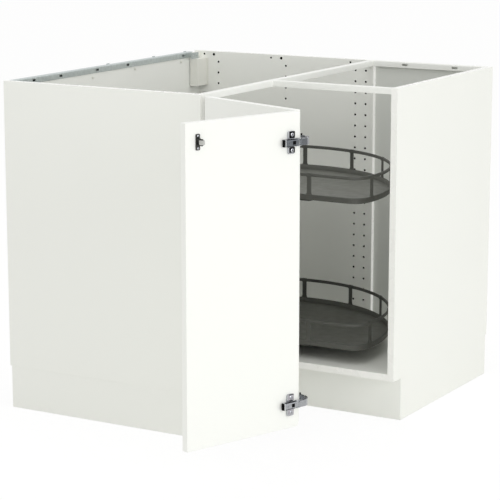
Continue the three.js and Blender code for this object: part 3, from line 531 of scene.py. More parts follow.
def rail_fixings():
    """Screws in the front rails and the back board, and the bracket and cap where the back rail ends."""
    bm = bmesh.new()
    on_main, on_extension = DEPTH - RAIL_WIDTH / 2, STEP + RAIL_WIDTH / 2
    points = [(on_main, BOARD + END_HOLE), (on_main, INSIDE - END_HOLE)]
    points += [(DEPTH + END_HOLE, on_extension), (INSIDE - END_HOLE, on_extension)]
    for x, y in points:
        screw(bm, (x, y, TOP - 1.1), (0, 0, 1), r=3.6, h=1.0, flush=True)
    piece("rail_screws", bm, "cabinet", "zinc_steel", DARK, angle=25)

    bm = bmesh.new()
    for y, drop in ((382, 27.3), (593, 23.3), (839, 25.3)):
        screw(bm, (BOARD + 0.1, y, TOP - drop), (1, 0, 0), r=4.2, h=1.6)
    piece("board_screws", bm, "cabinet", "white_steel", PALE, angle=25)

    bm = bmesh.new()
    plate = rounded(866, 904.6, TOP - 18.5, TOP - 0.4, 1.2)
    prism(bm, plate, 2 * BOARD, 2 * BOARD + 1.2, "x", [circle(878, TOP - 9, 2.2, 16)])
    screw(bm, (2 * BOARD + 1.2, 893, TOP - 9), (1, 0, 0), r=3.6, h=0.8)
    piece("rail_end_bracket", bm, "cabinet", "zinc_steel", ZINC, angle=25, bevel=0.2)

    bm = bmesh.new()
    prism(bm, rounded(896, INSIDE, TOP - 15, TOP - 2, 1.5), BOARD, BOARD + 3, "x")
    piece("rail_end_cap", bm, "cabinet", "pale_plastic", PALE, bevel=0.6)


def hanger():
    """The cover over the wall bracket in the rear corner, and the bracket inside it."""
    x1, y0, z0, z1, wall = 43, 887, TOP - 101, TOP - 20, 1.5
    bm = bmesh.new()
    box(bm, BOARD, x1, y0, INSIDE, z0, z1)
    tools = bmesh.new()
    box(tools, BOARD - 1, x1 - wall, y0 + wall, INSIDE - wall, z0 - 5, z1 - wall)
    bm = carved(bm, tools)
    box(bm, x1 - 1.4, x1 + 6, INSIDE - wall, INSIDE, z0, z1)
    node = "corner_hanger_cover"
    piece("hanger_cover_shell", bm, "cabinet", "pale_plastic", PALE, bevel=0.7, replaces=[node])

    bm = bmesh.new()
    slots = [rounded(893, 897, 812, 822, 1.9), circle(895, 796, 2.2), circle(895, 838, 2.2)]
    prism(bm, rounded(y0 + 2, INSIDE - 4, z0 + 6, z1 - 6, 3), BOARD - 2, BOARD, "x", slots)
    box(bm, BOARD - 0.5, x1 - 3.5, 912, 915, z0 + 14, z1 - 14)
    node = "corner_hanger_bracket"
    piece("hanger_bracket_plate", bm, "cabinet", "zinc_steel", ZINC, bevel=0.3, replaces=[node])


board("left_end_panel", holes=shelf_holes([84, 543]), face=BOARD, side=1)
board("rear_side_panel", holes=shelf_holes([84, 314, 543, 576]), face=INSIDE, side=-1)
for name in ("right_end_panel", "bottom_board_main", "bottom_board_extension", "back_board_left"):
    board(name)
# The thin back panel takes the greyer foil, which is painted shade.
board("back_panel_right", bevel=0.25, skin=SHADED_BACKING)
joint_strip()
rails()
rail_fixings()
hanger()


# ---------- legs and plinth ----------
PLINTH = 16  # thickness of a plinth board
PLINTH_GAP, WALL_GAP = 2, 4  # from a plinth board to an end panel's face, and to the wall
SET_BACK = 48  # of the front plinth boards
NEAR, FAR = 70, WALL - 70  # rows of legs beside the middle one
LEGS = {
    "leg_front_left": (NEAR, NEAR),
    "leg_front_right": (AXIS, NEAR),
    "leg_wall_left": (NEAR, AXIS),
    "leg_centre": (AXIS, AXIS),
    "leg_side_front": (FAR, AXIS),
    "leg_corner": (NEAR, FAR),
    "leg_wall_rear": (AXIS, FAR),
    "leg_back_right": (FAR, FAR),
}


def leg(node, x, y):
    """An adjustable leg: flanged top plate, ribbed tube, ridged stem and a broad foot."""
    profile = [(0, LEG), (29.4, LEG), (30, LEG - 0.8), (30, LEG - 5), (28.5, LEG - 6.2), (22, LEG - 8)]
    profile += [(19.6, LEG - 12), (18, LEG - 14), (18, 20), (17.2, 18.5), (17.2, 16), (12.6, 16)]
    for z in (15.2, 13.4, 11.6):
        profile += [(12, z), (12.6, z - 0.6), (12, z - 1.2)]
    profile += [(14, 10), (23.4, 9.4), (25, 8), (25, 1.2), (23.8, 0), (0, 0)]
    bm = bmesh.new()
    lathe(bm, profile, (x, y), steps=48)
    for k in range(12):
        rib = bmesh.new()
        box(rib, 17.4, 18.8, -0.9, 0.9, 24, LEG - 15)
        merge(bm, rib, Matrix.Translation((x, y, 0)) @ Matrix.Rotation(math.radians(30 * k), 4, "Z"))
    piece(node + "_turned", bm, "cabinet", "black_plastic", BLACK, replaces=[node], angle=28)


def plinth(node, x0, x1, y0, y1):
    bm = bmesh.new()
    box(bm, x0, x1, y0, y1, 0, LEG)
    piece(node + "_board", bm, "cabinet", "white_board", WHITE, EDGE_AND_HIGHLIGHT, bevel=0.5, replaces=[node])


def clip(bm, at, back, out):
    """A snap clip round a leg's tube, screwed to a plinth board's back at distance back, in direction out."""
    part = bmesh.new()
    prism(part, arc((0, 0), 20.8, 140, -140, 20) + arc((0, 0), 18.7, -140, 140, 20), 52, 72)
    box(part, 20.2, back - 2.2, -1.2, 1.2, 52, 72)
    for y in (-6.5, 6.5):
        box(part, 19.4, back - 2.2, y - 1, y + 1, 54, 70)
    prism(part, rounded(-10, 10, 50, 74, 2), back - 2.4, back, "x")
    for y, z in ((5, 55), (-5, 69)):
        screw(part, (back - 2.4, y, z), (-1, 0, 0), r=2.6, h=1.0)
    merge(bm, part, Matrix.Translation((*at, 0)) @ Matrix.Rotation(math.radians(out), 4, "Z"))


for name, (x, y) in LEGS.items():
    leg(name, x, y)
side, front, inner = PLINTH_GAP + PLINTH, DEPTH - SET_BACK, STEP + SET_BACK
plinth("plinth_left_end", WALL_GAP, front, PLINTH_GAP, side)
plinth("plinth_front_main", front - PLINTH, front, side, inner + PLINTH)
plinth("plinth_front_extension", front, WALL - side, inner, inner + PLINTH)
plinth("plinth_right_end", WALL - side, WALL - PLINTH_GAP, inner, WALL - WALL_GAP)
bm = bmesh.new()
for name, back, out in (
    ("leg_front_left", 52, -90),
    ("leg_front_right", 52, -90),
    ("leg_front_right", 56, 0),
    ("leg_side_front", 56, -90),
    ("leg_side_front", 52, 0),
    ("leg_back_right", 52, 0),
):
    clip(bm, LEGS[name], back, out)
piece("plinth_clips", bm, "cabinet", "black_plastic", BLACK, angle=28)


# ---------- doors ----------
CABINET_CUP, FOLD_CUP = 25, 315  # where on door 1 the cups sit, along y


def door(node, x0, x1, y0, y1, cups=()):
    """A door in its closed place, with wells for hinge cups bored from x0."""
    bounds = (x0, x1, y0, y1, DOOR_BOTTOM, DOOR_TOP)
    bm = bmesh.new()
    box(bm, *bounds)
    if cups:
        tools = bmesh.new()
        for y in cups:
            for level in LEVELS.values():
                cylinder(tools, (y, level), 17.6, x0 - 1, x0 + 12, "x", 56)
        bm = bored(bm, tools, bounds)
    edges = {"bevel": 1.1, "segments": 3, "angle": 40}
    # The cup wells take the chipboard darkened as painted shade.
    piece(node + "_panel", bm, node, "door_front", DOOR, SHADED_CORE, place=DOORS, replaces=[node], **edges)


door("door_1", DOOR_1_BACK, DOOR_1_BACK + BOARD, 3, 337, cups=(CABINET_CUP, FOLD_CUP))
door("door_2", 623, 957, DOOR_2_BACK - BOARD, DOOR_2_BACK)


# ---------- hinges ----------
LIT_AND_SHADED_FINISH = {"upper": (DARK_REFLECTION_NICKEL, PAINTED_SHADE_BLACK), "lower": (HIGHLIGHT_NICKEL, LIT_MATT_NICKEL)}  # faces of arms and of plates: upper hinge dark nickel, painted reflection, and near black, painted shade; lower hinge light nickel, painted highlight, and pale matt nickel, painted light
CUP_EYE = (605, 321)  # the gooseneck's two eyes, doors closed
ARM_EYE = (628.3, 367.2)
ARM_PIVOT = (585.9, 26.3)  # the cabinet hinge's pivots, door 1 open
LINK_PIVOT = (613.2, 31.6)
CUP_PIVOT = (637.2, 7.6)


def cup_flange(steps):
    """Radii round a cup's flange: the well's disc with a screw lobe above it and one below."""
    lobe, lobe_at = 5.5, 21
    radii = []
    for i in range(steps):
        t = 2 * math.pi * i / steps
        across, up = abs(math.cos(t)), abs(math.sin(t))
        reach = lobe / across if across > 1e-6 else math.inf
        if reach * up > lobe_at:
            reach = lobe_at * up + math.sqrt(max(0.0, lobe**2 - (lobe_at * across) ** 2))
        radii.append(max(19.0, min(reach, 26.5)))
    return radii


def cup(node, y, level, pin, pin_r):
    """A stamped cup in door 1: a flange with two screws, the well and the pin across it."""
    steps = 96
    x = DOOR_1_BACK
    flange = cup_flange(steps)
    turns = [2 * math.pi * i / steps for i in range(steps)]

    def ring(radii, depth):
        return [(x + depth, y + r * math.cos(t), level + r * math.sin(t)) for r, t in zip(radii, turns)]

    well = [(0.01, 9.8), (12.6, 9.8), (14.0, 8.6), (14.0, -0.9), (14.8, -1.5)]
    behind = [(17.3, -0.3), (17.3, 11.2), (0.01, 11.2)]
    loops = [ring([r] * steps, depth) for r, depth in well]
    loops += [ring(flange, -1.5), ring(flange, -0.3)]
    loops += [ring([r] * steps, depth) for r, depth in behind]
    bm = bmesh.new()
    loft(bm, loops)
    bmesh.ops.remove_doubles(bm, verts=bm.verts, dist=0.03)
    tools = bmesh.new()
    box(tools, x - 3, x + 2.4, y - 20, y + 20, level - 6.6, level + 6.6)
    bm = carved(bm, tools)
    cylinder(bm, pin, pin_r, level - 14.6, level + 14.6, steps=16)
    for z in (level - 22.2, level + 22.2):
        screw(bm, (x - 1.5, y, z), (-1, 0, 0), r=3.6, h=1.3, turn=35)
    edges = {"bevel": 0.25, "angle": 35}
    piece(node + "_stamping", bm, "door_1", "nickel", NICKEL, place=DOORS, replaces=[node], **edges)


def wing_plate(hinge, body, place, x, y, level, towards, face):
    """A cross plate on a board's face at y, about x and level: two thick wings and a bridge between them.

    Each wing has a faced recess, near black on the upper hinge as painted shade and pale on the lower as
    painted light, near-black strips of painted shade at the recess ends, and a screw. Its wider rim is
    towards +x or -x.
    """
    wide, tall, wing = 10, 26.5, 9.9  # half the plate's size, and where its wings begin
    sheet, thick = 1.9, 4.6
    bm = bmesh.new()
    prism(bm, rounded(x - wide, x + wide, level - tall, level + tall, 4.5, 6), y, y + sheet, "y")
    for z0, z1 in mirrored(level, wing, tall):
        prism(bm, rounded(x - wide, x + wide, z0, z1, 3.4, 6), y + sheet - 0.1, y + thick, "y")
    prism(bm, rounded(x - 8, x + 8, level - 12.5, level + 12.5, 1.5), y + sheet - 0.1, y + 3, "y")
    node = f"{hinge}_plate"
    piece(f"{node}_stamping", bm, body, "nickel", NICKEL, place=place, bevel=0.4, replaces=[node])

    u0, u1 = sorted((x - 9.6 * towards, x + 7.2 * towards))
    bm = bmesh.new()
    prism(bm, rounded(u0, u1, level + 10.6, level + 26.1, 2.4, 5), y + thick - 0.4, y + thick + 0.4, "y")
    prism(bm, rounded(u0, u1, level - 23.6, level - 10.6, 1.6, 5), y + thick - 0.4, y + thick + 0.4, "y")
    # The recess face takes the hinge's plate finish: near black on the upper hinge, painted shade; pale matt
    # nickel on the lower, painted light.
    piece(f"{node}_recess", bm, body, "dark_steel", face, place=place, bevel=0.2)

    bm = bmesh.new()
    # Near-black strips at the ends of each recess: painted shade.
    prism(bm, rounded(u0 + 1, u1 - 1, level + 24.2, level + 26.2, 0.9, 3), y + thick, y + thick + 0.9, "y")
    prism(bm, rounded(u0 + 1, u1 - 1, level + 10.2, level + 12, 0.8, 3), y + thick, y + thick + 0.9, "y")
    piece(f"{node}_painted_shade_lips", bm, body, "dark_steel", PAINTED_SHADE_BLACK, place=place, bevel=0.2)

    bm = bmesh.new()
    for side in (-1, 1):
        at = (x - 1.2 * towards, y + thick + 0.4, level + side * 18.2)
        screw(bm, at, (0, 1, 0), r=4.6, h=1.6, turn=25 + 20 * side)
    piece(f"{node}_screws", bm, body, "nickel", NICKEL, place=place, angle=25)


def hinge_arm(hinge, body, place, x, y, level, half, face, cam, screws, ears):
    """A stamped arm: x is (root at the link, tip), y is (back, front) and half is half its height.

    Its base has the ears for the link's pin. On it lie a black band, painted shadow in the gap under the
    front, the faced front with its screws, black strips of painted shade along its top and bottom edges and a
    black cam cover.
    A bright collar, a painted highlight, and a black end piece, painted shade in the open end, close its tip.
    """
    root, tip = x
    back, front = y
    away = 1 if tip > root else -1
    low, high = level - half, level + half
    along = sorted((root, tip - away * 2.4))
    base = back + 2.6
    node = f"{hinge}_arm"

    bm = bmesh.new()
    box(bm, *along, back, base, low, high)
    ears(bm)
    piece(f"{node}_stamping", bm, body, "nickel", NICKEL, place=place, bevel=0.3, replaces=[node])

    bm = bmesh.new()
    # The black band: painted shadow in the gap under the front.
    box(bm, *along, base - 0.1, base + 1.4, low + 0.7, high - 0.7)
    # Black strips along the top and bottom edges: painted shade.
    for z0, z1 in mirrored(level, half - 1.5, half - 0.6):
        box(bm, *sorted((root + away * 6, tip - away * 3)), front - 3.4, front - 0.7, z0, z1)
    # The black end piece: painted shade in the open end.
    end_piece = rounded(back + 0.2, front - 0.3, low + 0.6, high - 0.6, 1.2)
    prism(bm, end_piece, *sorted((tip - away * 2.6, tip - away * 0.1)), "x")
    prism(bm, rounded(*cam, level - 4.4, level + 4.4, 0.8, 3), front - 0.6, front + 0.7, "y")
    piece(f"{node}_cam_and_painted_shade", bm, body, "black_plastic", BLACK, place=place, bevel=0.2)

    edge = half - 1.4
    crown = [(front, edge * 0.5), (front - 0.2, edge - 1.6), (front - 0.7, edge - 0.5), (front - 1.6, edge)]
    crown.append((base + 1.3, edge))
    section = [(u, level - v) for u, v in reversed(crown)] + [(u, level + v) for u, v in crown]
    # The front takes the hinge's nickel copy: dark on the upper hinge as painted reflection, light on the
    # lower as painted highlight.
    bm = bmesh.new()
    prism(bm, section, *sorted((root, tip - away * 2.6)), "x")
    for at in screws:
        screw(bm, (at, front - 0.1, level), (0, 1, 0), r=2.6, h=0.6, turn=12)
    piece(f"{node}_front", bm, body, "nickel", face, place=place, bevel=0.15, angle=24)

    # A bright collar at the tip: painted highlight.
    bm = bmesh.new()
    collar = rounded(*sorted((tip - away * 5.2, tip - away * 2.5)), low + 0.2, high - 0.2, 0.6, 3)
    prism(bm, collar, base + 0.2, front + 0.35, "y")
    piece(f"{node}_painted_highlight_collar", bm, body, "nickel", SCREW, place=place, bevel=0.2, angle=25)


def fold_arm(name, level):
    """The arm of a hinge between the doors, and its cross plate on door 2."""
    hinge = f"{name}_fold_hinge"
    # The lower hinge takes finishes of painted light, the upper finishes of painted shade and reflection.
    face, recess = LIT_AND_SHADED_FINISH[name]
    back, front = 361.6, 370
    wing_plate(hinge, "door_2", DOORS, 650.5, DOOR_2_BACK + 0.3, level, 1, recess)

    def ears(bm):
        shape = [(636, back), (636, front)]
        shape += arc((ARM_EYE[0], 366.4), 4, 90, 270, 8, squash=0.9)
        shape.append((ARM_EYE[0], back))
        for z0, z1 in mirrored(level, 6.4, 9):
            prism(bm, shape, z0, z1)
        cylinder(bm, ARM_EYE, 1.9, level - 9.6, level + 9.6, steps=20)

    span, cam = (634, 678), (643.6, 652.2)
    hinge_arm(hinge, "door_2", DOORS, span, (back, front), level, 9, face, cam, (664.5,), ears)


def gooseneck(name, level):
    """The curved link round the corner between the doors, with an eye at each end.

    Its middle is a box bar, open above and below, with a near-black filler inside it and a small dark block
    on top, both painted shade, a cover over its end and three rivets.
    """
    node = f"{name}_fold_hinge_gooseneck"
    half, box_half = 6, 8.2  # half the height of the link and of its box bar
    route = [(0, 0), (-11, 4), (-14.5, 13), (-14, 26), (-8, 37), (2, 44.5)]
    path = smooth([(CUP_EYE[0] + x, CUP_EYE[1] + y) for x, y in route] + [ARM_EYE], 8)
    bm = bmesh.new()
    prism(bm, bar(path, 2.5), level - half, level + half)
    for at in (CUP_EYE, ARM_EYE):
        cylinder(bm, at, 4, level - half, level + half, steps=28)
    tools = bmesh.new()
    cylinder(tools, CUP_EYE, 2.65, level - half - 1, level + half + 1, steps=24)
    cylinder(tools, ARM_EYE, 2.0, level - half - 1, level + half + 1, steps=20)
    bm = carved(bm, tools)
    middle = offset(path[13:-4], 0.2)
    box_bar = bmesh.new()
    prism(box_bar, bar(middle, 3.2), level - box_half, level + box_half)
    tools = bmesh.new()
    for z0, z1 in mirrored(level, 2.2, box_half + 1.8):
        prism(tools, bar(middle[1:-1], 2.4), z0, z1)
    merge(bm, carved(box_bar, tools))
    edges = {"bevel": 0.3, "angle": 30}
    piece(f"{node}_link", bm, "fold_links", "nickel", NICKEL, place=DOORS, replaces=[node], **edges)

    # Near-black filler inside the open box bar and a small dark block on top: painted shade.
    bm = bmesh.new()
    for z0, z1 in mirrored(level, 2.0, box_half - 0.4):
        prism(bm, bar(middle[1:-1], 2.3), z0, z1)
    prism(bm, rounded(589.0, 592.2, 326.5, 330.5, 1.0, 3), level + 5.5, level + 12.5)
    piece(f"{node}_core", bm, "fold_links", "dark_steel", PAINTED_SHADE_BLACK, place=DOORS, bevel=0.2)

    bm = bmesh.new()
    cover = [(604.5, 368.0), (608, 369.3), (611, 370.3), (614, 371.2), (ARM_EYE[0], 371.6)]
    cover += [(ARM_EYE[0], 370.5), (614, 370.1), (611, 369.2), (608.6, 368.3), (605.2, 366.9)]
    prism(bm, cover, level - 7.6, level + 7.6)
    nose = arc(ARM_EYE, 4.4, 90, 30, 5) + arc(ARM_EYE, 3.5, 30, 90, 5)
    prism(bm, nose, level - 6.1, level + 6.1)
    # The cover takes the hinge's nickel copy: dark on the upper hinge as painted reflection, light on the
    # lower as painted highlight.
    piece(f"{node}_cover", bm, "fold_links", "nickel", LIT_AND_SHADED_FINISH[name][0], place=DOORS, bevel=0.3)

    bm = bmesh.new()
    head = [(0, 7.5), (1.5, 7.5), (1.5, 8.1), (1.0, 8.4), (0, 8.4)]
    for share in (0.3, 0.55, 0.8):
        at = middle[int(share * (len(middle) - 1))]
        lathe(bm, [(r, level + h) for r, h in head], at, steps=18)
    piece(f"{node}_rivets", bm, "fold_links", "nickel", SCREW, place=DOORS, angle=25)


def cabinet_hinge(name, level):
    """The hinge between the left end panel and door 1: its cross plate, arm and two links, door 1 open."""
    hinge = f"{name}_cabinet_hinge"
    # The lower hinge takes finishes of painted light, the upper finishes of painted shade and reflection.
    face, recess = LIT_AND_SHADED_FINISH[name]
    wing_plate(hinge, "cabinet", ROOM, 563, BOARD, level, -1, recess)

    def ears(bm):
        for z0, z1 in mirrored(level, 3.9, 8):
            prism(bm, rounded(577.5, 589.9, 21.4, 30.6, 2.6), z0, z1)
        cylinder(bm, ARM_PIVOT, 2.1, level - 8.5, level + 8.5, steps=20)

    span, cam = (579.9, 533.9), (557, 565.6)
    hinge_arm(hinge, "cabinet", ROOM, span, (21, 31), level, 8, face, cam, (547.5, 573.5), ears)

    bm = bmesh.new()
    prism(bm, bar(smooth([ARM_PIVOT, (599.5, 30.2), LINK_PIVOT], 5), 2.5), level - 3.5, level + 3.5)
    for at in (ARM_PIVOT, LINK_PIVOT):
        cylinder(bm, at, 4, level - 3.5, level + 3.5, steps=28)
    node = f"{hinge}_inner_link"
    look = {"bevel": 0.3, "angle": 30}
    piece(f"{hinge}_inner_bar", bm, "hinge_inner_links", "nickel", NICKEL, replaces=[node], **look)

    bm = bmesh.new()
    for z0 in (level + 3.8, level - 5.8):
        prism(bm, bar([LINK_PIVOT, CUP_PIVOT], 2.5), z0, z0 + 2)
        for at in (LINK_PIVOT, CUP_PIVOT):
            cylinder(bm, at, 4, z0, z0 + 2, steps=28)
    way = (Vector(LINK_PIVOT) - Vector(CUP_PIVOT)).normalized()
    web = [Vector(CUP_PIVOT) + way * d for d in (8, 18)]
    prism(bm, bar(web, 2.0), level - 4.8, level + 4.8)
    cylinder(bm, LINK_PIVOT, 1.6, level - 6.6, level + 6.6, steps=18)
    node = f"{hinge}_outer_link"
    look = {"bevel": 0.25, "angle": 30}
    piece(f"{hinge}_outer_bar", bm, "hinge_outer_links", "nickel", NICKEL, replaces=[node], **look)


for name, level in LEVELS.items():
    cup(name + "_cabinet_hinge_cup", CABINET_CUP, level, (605, 25), 1.5)
    cup(name + "_fold_hinge_cup", FOLD_CUP, level, (605.75, 321.75), 1.2)
for name, level in LEVELS.items():
    fold_arm(name, level)
    gooseneck(name, level)
    cabinet_hinge(name, level)


# ---------- roller catch ----------
def catch():
    """The dark bracket near door 2's free edge, its roller, and the keeper on the right end panel."""
    x, level = 923.0, 828.0
    wheel = (920.5, 371.0)
    base = DOOR_2_BACK + 0.3
    bm = bmesh.new()
    holes = [circle(x, z, 1.9, 16) for z in (level - 13.8, level + 13.8)]
    plate = rounded(x - 5.75, x + 5.75, level - 18.3, level + 18.3, 2.2)
    prism(bm, plate, base, base + 2, "y", holes)
    for z0, z1 in mirrored(level, 5.3, 7.3):
        prism(bm, [(917.6, 360), (927.6, 360)] + arc(wheel, 3, 0, 180, 8), z0, z1)
    cylinder(bm, wheel, 1.7, level - 8, level + 8, steps=18)
    gusset = [(361.4, level + 13), (361.4, level + 5.8), (370, level + 5.8), (370, level + 7.4)]
    prism(bm, gusset, 921.2, 923.8, "x")
    node = "catch_bracket"
    piece("catch_bracket_pressing", bm, "door_2", "dark_steel", DARK, place=DOORS, bevel=0.3, replaces=[node])

    bm = bmesh.new()
    for z in (level - 13.8, level + 13.8):
        screw(bm, (x, base + 2, z), (0, 1, 0), r=2.9, h=1.3, turn=30)
    piece("catch_bracket_screws", bm, "door_2", "dark_steel", NICKEL, place=DOORS, angle=25)

    bm = bmesh.new()
    tread = [(1.9, -5), (5.7, -5), (6.5, -4.2), (6.5, 4.2), (5.7, 5), (1.9, 5)]
    lathe(bm, [(r, level + h) for r, h in tread], wheel)
    node = "catch_roller"
    piece("catch_roller_wheel", bm, "catch_roller", "pale_plastic", ROLLER, place=DOORS, replaces=[node])

    bm = bmesh.new()
    prism(bm, rounded(366, 378, level - 14, level + 14, 2.4), INSIDE - 4, INSIDE, "x")
    for z in (level - 7, level + 7):
        screw(bm, (INSIDE - 4, 372, z), (-1, 0, 0), r=2.6, h=0.5, flush=True)
    node = "catch_keeper"
    piece("catch_keeper_moulding", bm, "cabinet", "pale_plastic", PALE, bevel=0.6, replaces=[node])


catch()


# ---------- carousel ----------
TRAY_R, NOTCH_SIDE, OUTER_ROUND, INNER_ROUND = 366, 84, 45, 22
TRAY_TOPS = {"lower": 242.0, "upper": 634.0}
TRAY_HEIGHT = 71
POST_R = 16


def tray_outline(shrink):
    """The three-quarter-round outline about the axis, every side moved inwards by shrink."""
    big, side, r, inner = TRAY_R - shrink, NOTCH_SIDE - shrink, OUTER_ROUND - shrink, INNER_ROUND + shrink
    reach = math.sqrt((big - r) ** 2 - (side - r) ** 2)
    tangent = math.degrees(math.atan2(side - r, reach))
    return (
        arc((reach, r - side), r, -90, -tangent, 18)
        + arc((0, 0), big, -tangent, 270 + tangent, 150)[1:]
        + arc((side - r, -reach), r, 270 + tangent, 360, 18)[1:]
        + arc((side + inner, -side - inner), inner, 180, 90, 12)
    )


def band(bm, level, section):
    """A closed band round the tray; the section is points of (inset, height above level)."""
    loft(bm, [[(x, y, level + h) for x, y in tray_outline(inset)] for inset, h in section])


def tray_post(base, top):
    """A flat post that flares at its foot, with a pad on the rim and one on the top rail, at y = 0."""
    foot, head = base + 14, top - 7.5
    turns = [math.pi / 2 * k / 5 for k in range(6)]
    flare = [(6 + 5 * (1 - math.sin(t)), foot + 9.5 * (1 - math.cos(t))) for t in turns]
    shape = flare + [(6, head), (-6, head)] + [(-u, z) for u, z in reversed(flare)]
    post = bmesh.new()
    prism(post, shape, -3.4, -0.8, "x")
    prism(post, rounded(-11, 11, base + 3.5, base + 14.4, 1.5, 3), -3.6, 0.25, "x")
    prism(post, rounded(-7.2, 7.2, top - 9.7, top + 0.6, 1.3, 3), -5.1, 0.6, "x")
    return post


def tray_railing(bm, base, top):
    rim = [(0.9, 0), (0.2, 0.8), (0.2, 10.2), (-0.5, 11.2), (-0.5, 14), (0.3, 15), (3.2, 15), (4, 14.2)]
    band(bm, base, rim + [(4, 0.5), (3.5, 0)])
    bead = [(0.9, -8.5), (0, -7.5), (0, -1.1), (0.4, -0.3), (1.1, 0), (3.4, 0), (4.1, -0.3), (4.5, -1.1)]
    band(bm, top, bead + [(4.5, -7.5), (3.6, -8.5)])
    stations = [(-4 + 278 * i / 11, TRAY_R, 0) for i in range(12)]
    stations += [(-90, NOTCH_SIDE, 208), (0, NOTCH_SIDE, -208)]
    for angle, distance, aside in stations:
        turn = Matrix.Rotation(math.radians(angle), 4, "Z")
        merge(bm, tray_post(base, top), turn @ Matrix.Translation((distance, aside, 0)))


def spider(bm, base, bore):
    """The round support plate under a tray's floor, notched as the tray is, with its rivets."""
    radius, notch = 224, 83
    chord = math.sqrt(radius**2 - notch**2)
    shape = arc((0, 0), radius, -21, 291, 104)
    shape += [(notch, -chord), (notch, -110), (90, -94), (96, -87), (110, -notch), (chord, -notch)]
    prism(bm, shape, base - 3, base, "z", [bore])
    rivet = [(0, -4.2), (4.2, -4.2), (5, -3.4), (5, -2.8), (0, -2.8)]
    for at in arc((0, 0), 196, -20, 230, 8):
        lathe(bm, [(r, base + h) for r, h in rivet], at, steps=18)


def hub(bm, low, base):
    """The hub from its foot at low up through the floor, with a collar on the floor and six screws."""
    inner = POST_R + 0.4
    profile = [(inner, low), (46.8, low), (48, low + 1.2), (48, base - 3.1), (34, base - 3.1), (34, base + 2)]
    profile += [(35.6, base + 2), (36.2, base + 2.8), (36.2, base + 4), (34, base + 5), (33, low + 32.8)]
    profile += [(31.8, low + 34), (18, low + 34), (inner, low + 32.6)]
    lathe(bm, profile, steps=64)
    for x, y in arc((0, 0), 26, 30, 330, 5):
        screw(bm, (x, y, low + 34), (0, 0, 1), r=2.2, h=0.8)


def bearing(bm, low):
    """The collar and thrust washer on the post under a hub, and the collar's hexagonal grub screw."""
    inner = POST_R + 0.3
    profile = [(inner, -16), (25, -16), (26, -15), (26, -2.2), (29.6, -1.9), (30, -1.4), (30, -0.3)]
    lathe(bm, [(r, low + h) for r, h in profile + [(29.6, 0), (inner, 0)]], steps=56)
    lathe(bm, [(0, 25), (2.4, 25), (2.4, 27.2), (1.2, 27.2), (1.2, 26), (0, 26)], (0, low - 9), "x", 6)


def tray(prefix, top):
    body, base = f"{prefix}_tray", top - TRAY_HEIGHT
    low = base - 9
    bore = circle(0, 0, 34.3, 48)

    bm = bmesh.new()
    tray_railing(bm, base, top)
    look = {"place": TRAYS, "bevel": 0.35, "angle": 38}
    piece(f"{body}_guard", bm, body, "anthracite", GRAPHITE, replaces=[f"{body}_railing"], **look)

    bm = bmesh.new()
    prism(bm, tray_outline(4.05), base, base + 2, "z", [bore])
    band(bm, base, [(4.0, 1), (4.0, 13.8), (4.5, 14.0), (4.8, 13.4), (5.2, 1)])
    look = {"place": TRAYS, "bevel": 0.4}
    piece(f"{body}_deck", bm, body, "anthracite", FLOORING, replaces=[f"{body}_floor"], **look)

    bm = bmesh.new()
    spider(bm, base, bore)
    piece(f"{body}_spider", bm, body, "dark_steel", DARK, replaces=[f"{body}_support"], **look)

    bm = bmesh.new()
    hub(bm, low, base)
    piece(f"{body}_boss", bm, body, "black_plastic", BLACK, place=TRAYS, replaces=[f"{body}_hub"])

    bm = bmesh.new()
    bearing(bm, low)
    node = f"{prefix}_bearing_collar"
    piece(f"{prefix}_bearing_ring", bm, "cabinet", "zinc_steel", ZINC, place=TRAYS, replaces=[node])


def post():
    """The fixed post with its cap, and the flange that screws it to the bottom board."""
    foot, inner = 137.3, POST_R + 0.4
    bm = bmesh.new()
    tube = [(0, foot + 0.1), (POST_R, foot + 0.1), (POST_R, 667.6)]
    cap = [(17.4, 667.8), (18, 668.6), (18, 675.4), (17.2, 677), (15, 677.8), (0, 678)]
    lathe(bm, tube + cap, steps=56)
    node = "carousel_post"
    piece("carousel_post_tube", bm, "cabinet", "anthracite", GRAPHITE, place=TRAYS, replaces=[node])

    bm = bmesh.new()
    profile = [(0, foot - 5), (60, foot - 5), (60, foot - 1.5), (58.4, foot), (26, foot), (24.4, foot + 0.9)]
    profile += [(24, foot + 5.3), (23.2, foot + 6), (inner, foot + 6), (inner, foot + 0.05), (0, foot + 0.05)]
    lathe(bm, profile, steps=64)
    for k, (x, y) in enumerate(arc((0, 0), 42, 45, 315, 3)):
        screw(bm, (x, y, foot), (0, 0, 1), r=4.4, h=1.6, turn=15 * k)
    look = {"place": TRAYS, "angle": 25}
    piece("post_flange_plate", bm, "cabinet", "zinc_steel", ZINC, replaces=["post_flange"], **look)


def back_panel_nails():
    """Two rows of small nails in the thin back panel, seen from behind."""
    head = [(0, 959.2), (2.6, 959.2), (3.1, 958.9), (3.1, 958.4), (0, 958.4)]
    bm = bmesh.new()
    for z in range(150, 850, 115):
        for x in (DEPTH + 9, INSIDE - 9):
            lathe(bm, head, (x, z), "y", 16)
    piece("back_panel_nails", bm, "cabinet", "zinc_steel", SCREW, angle=25)


for prefix, top in TRAY_TOPS.items():
    tray(prefix, top)
post()
back_panel_nails()


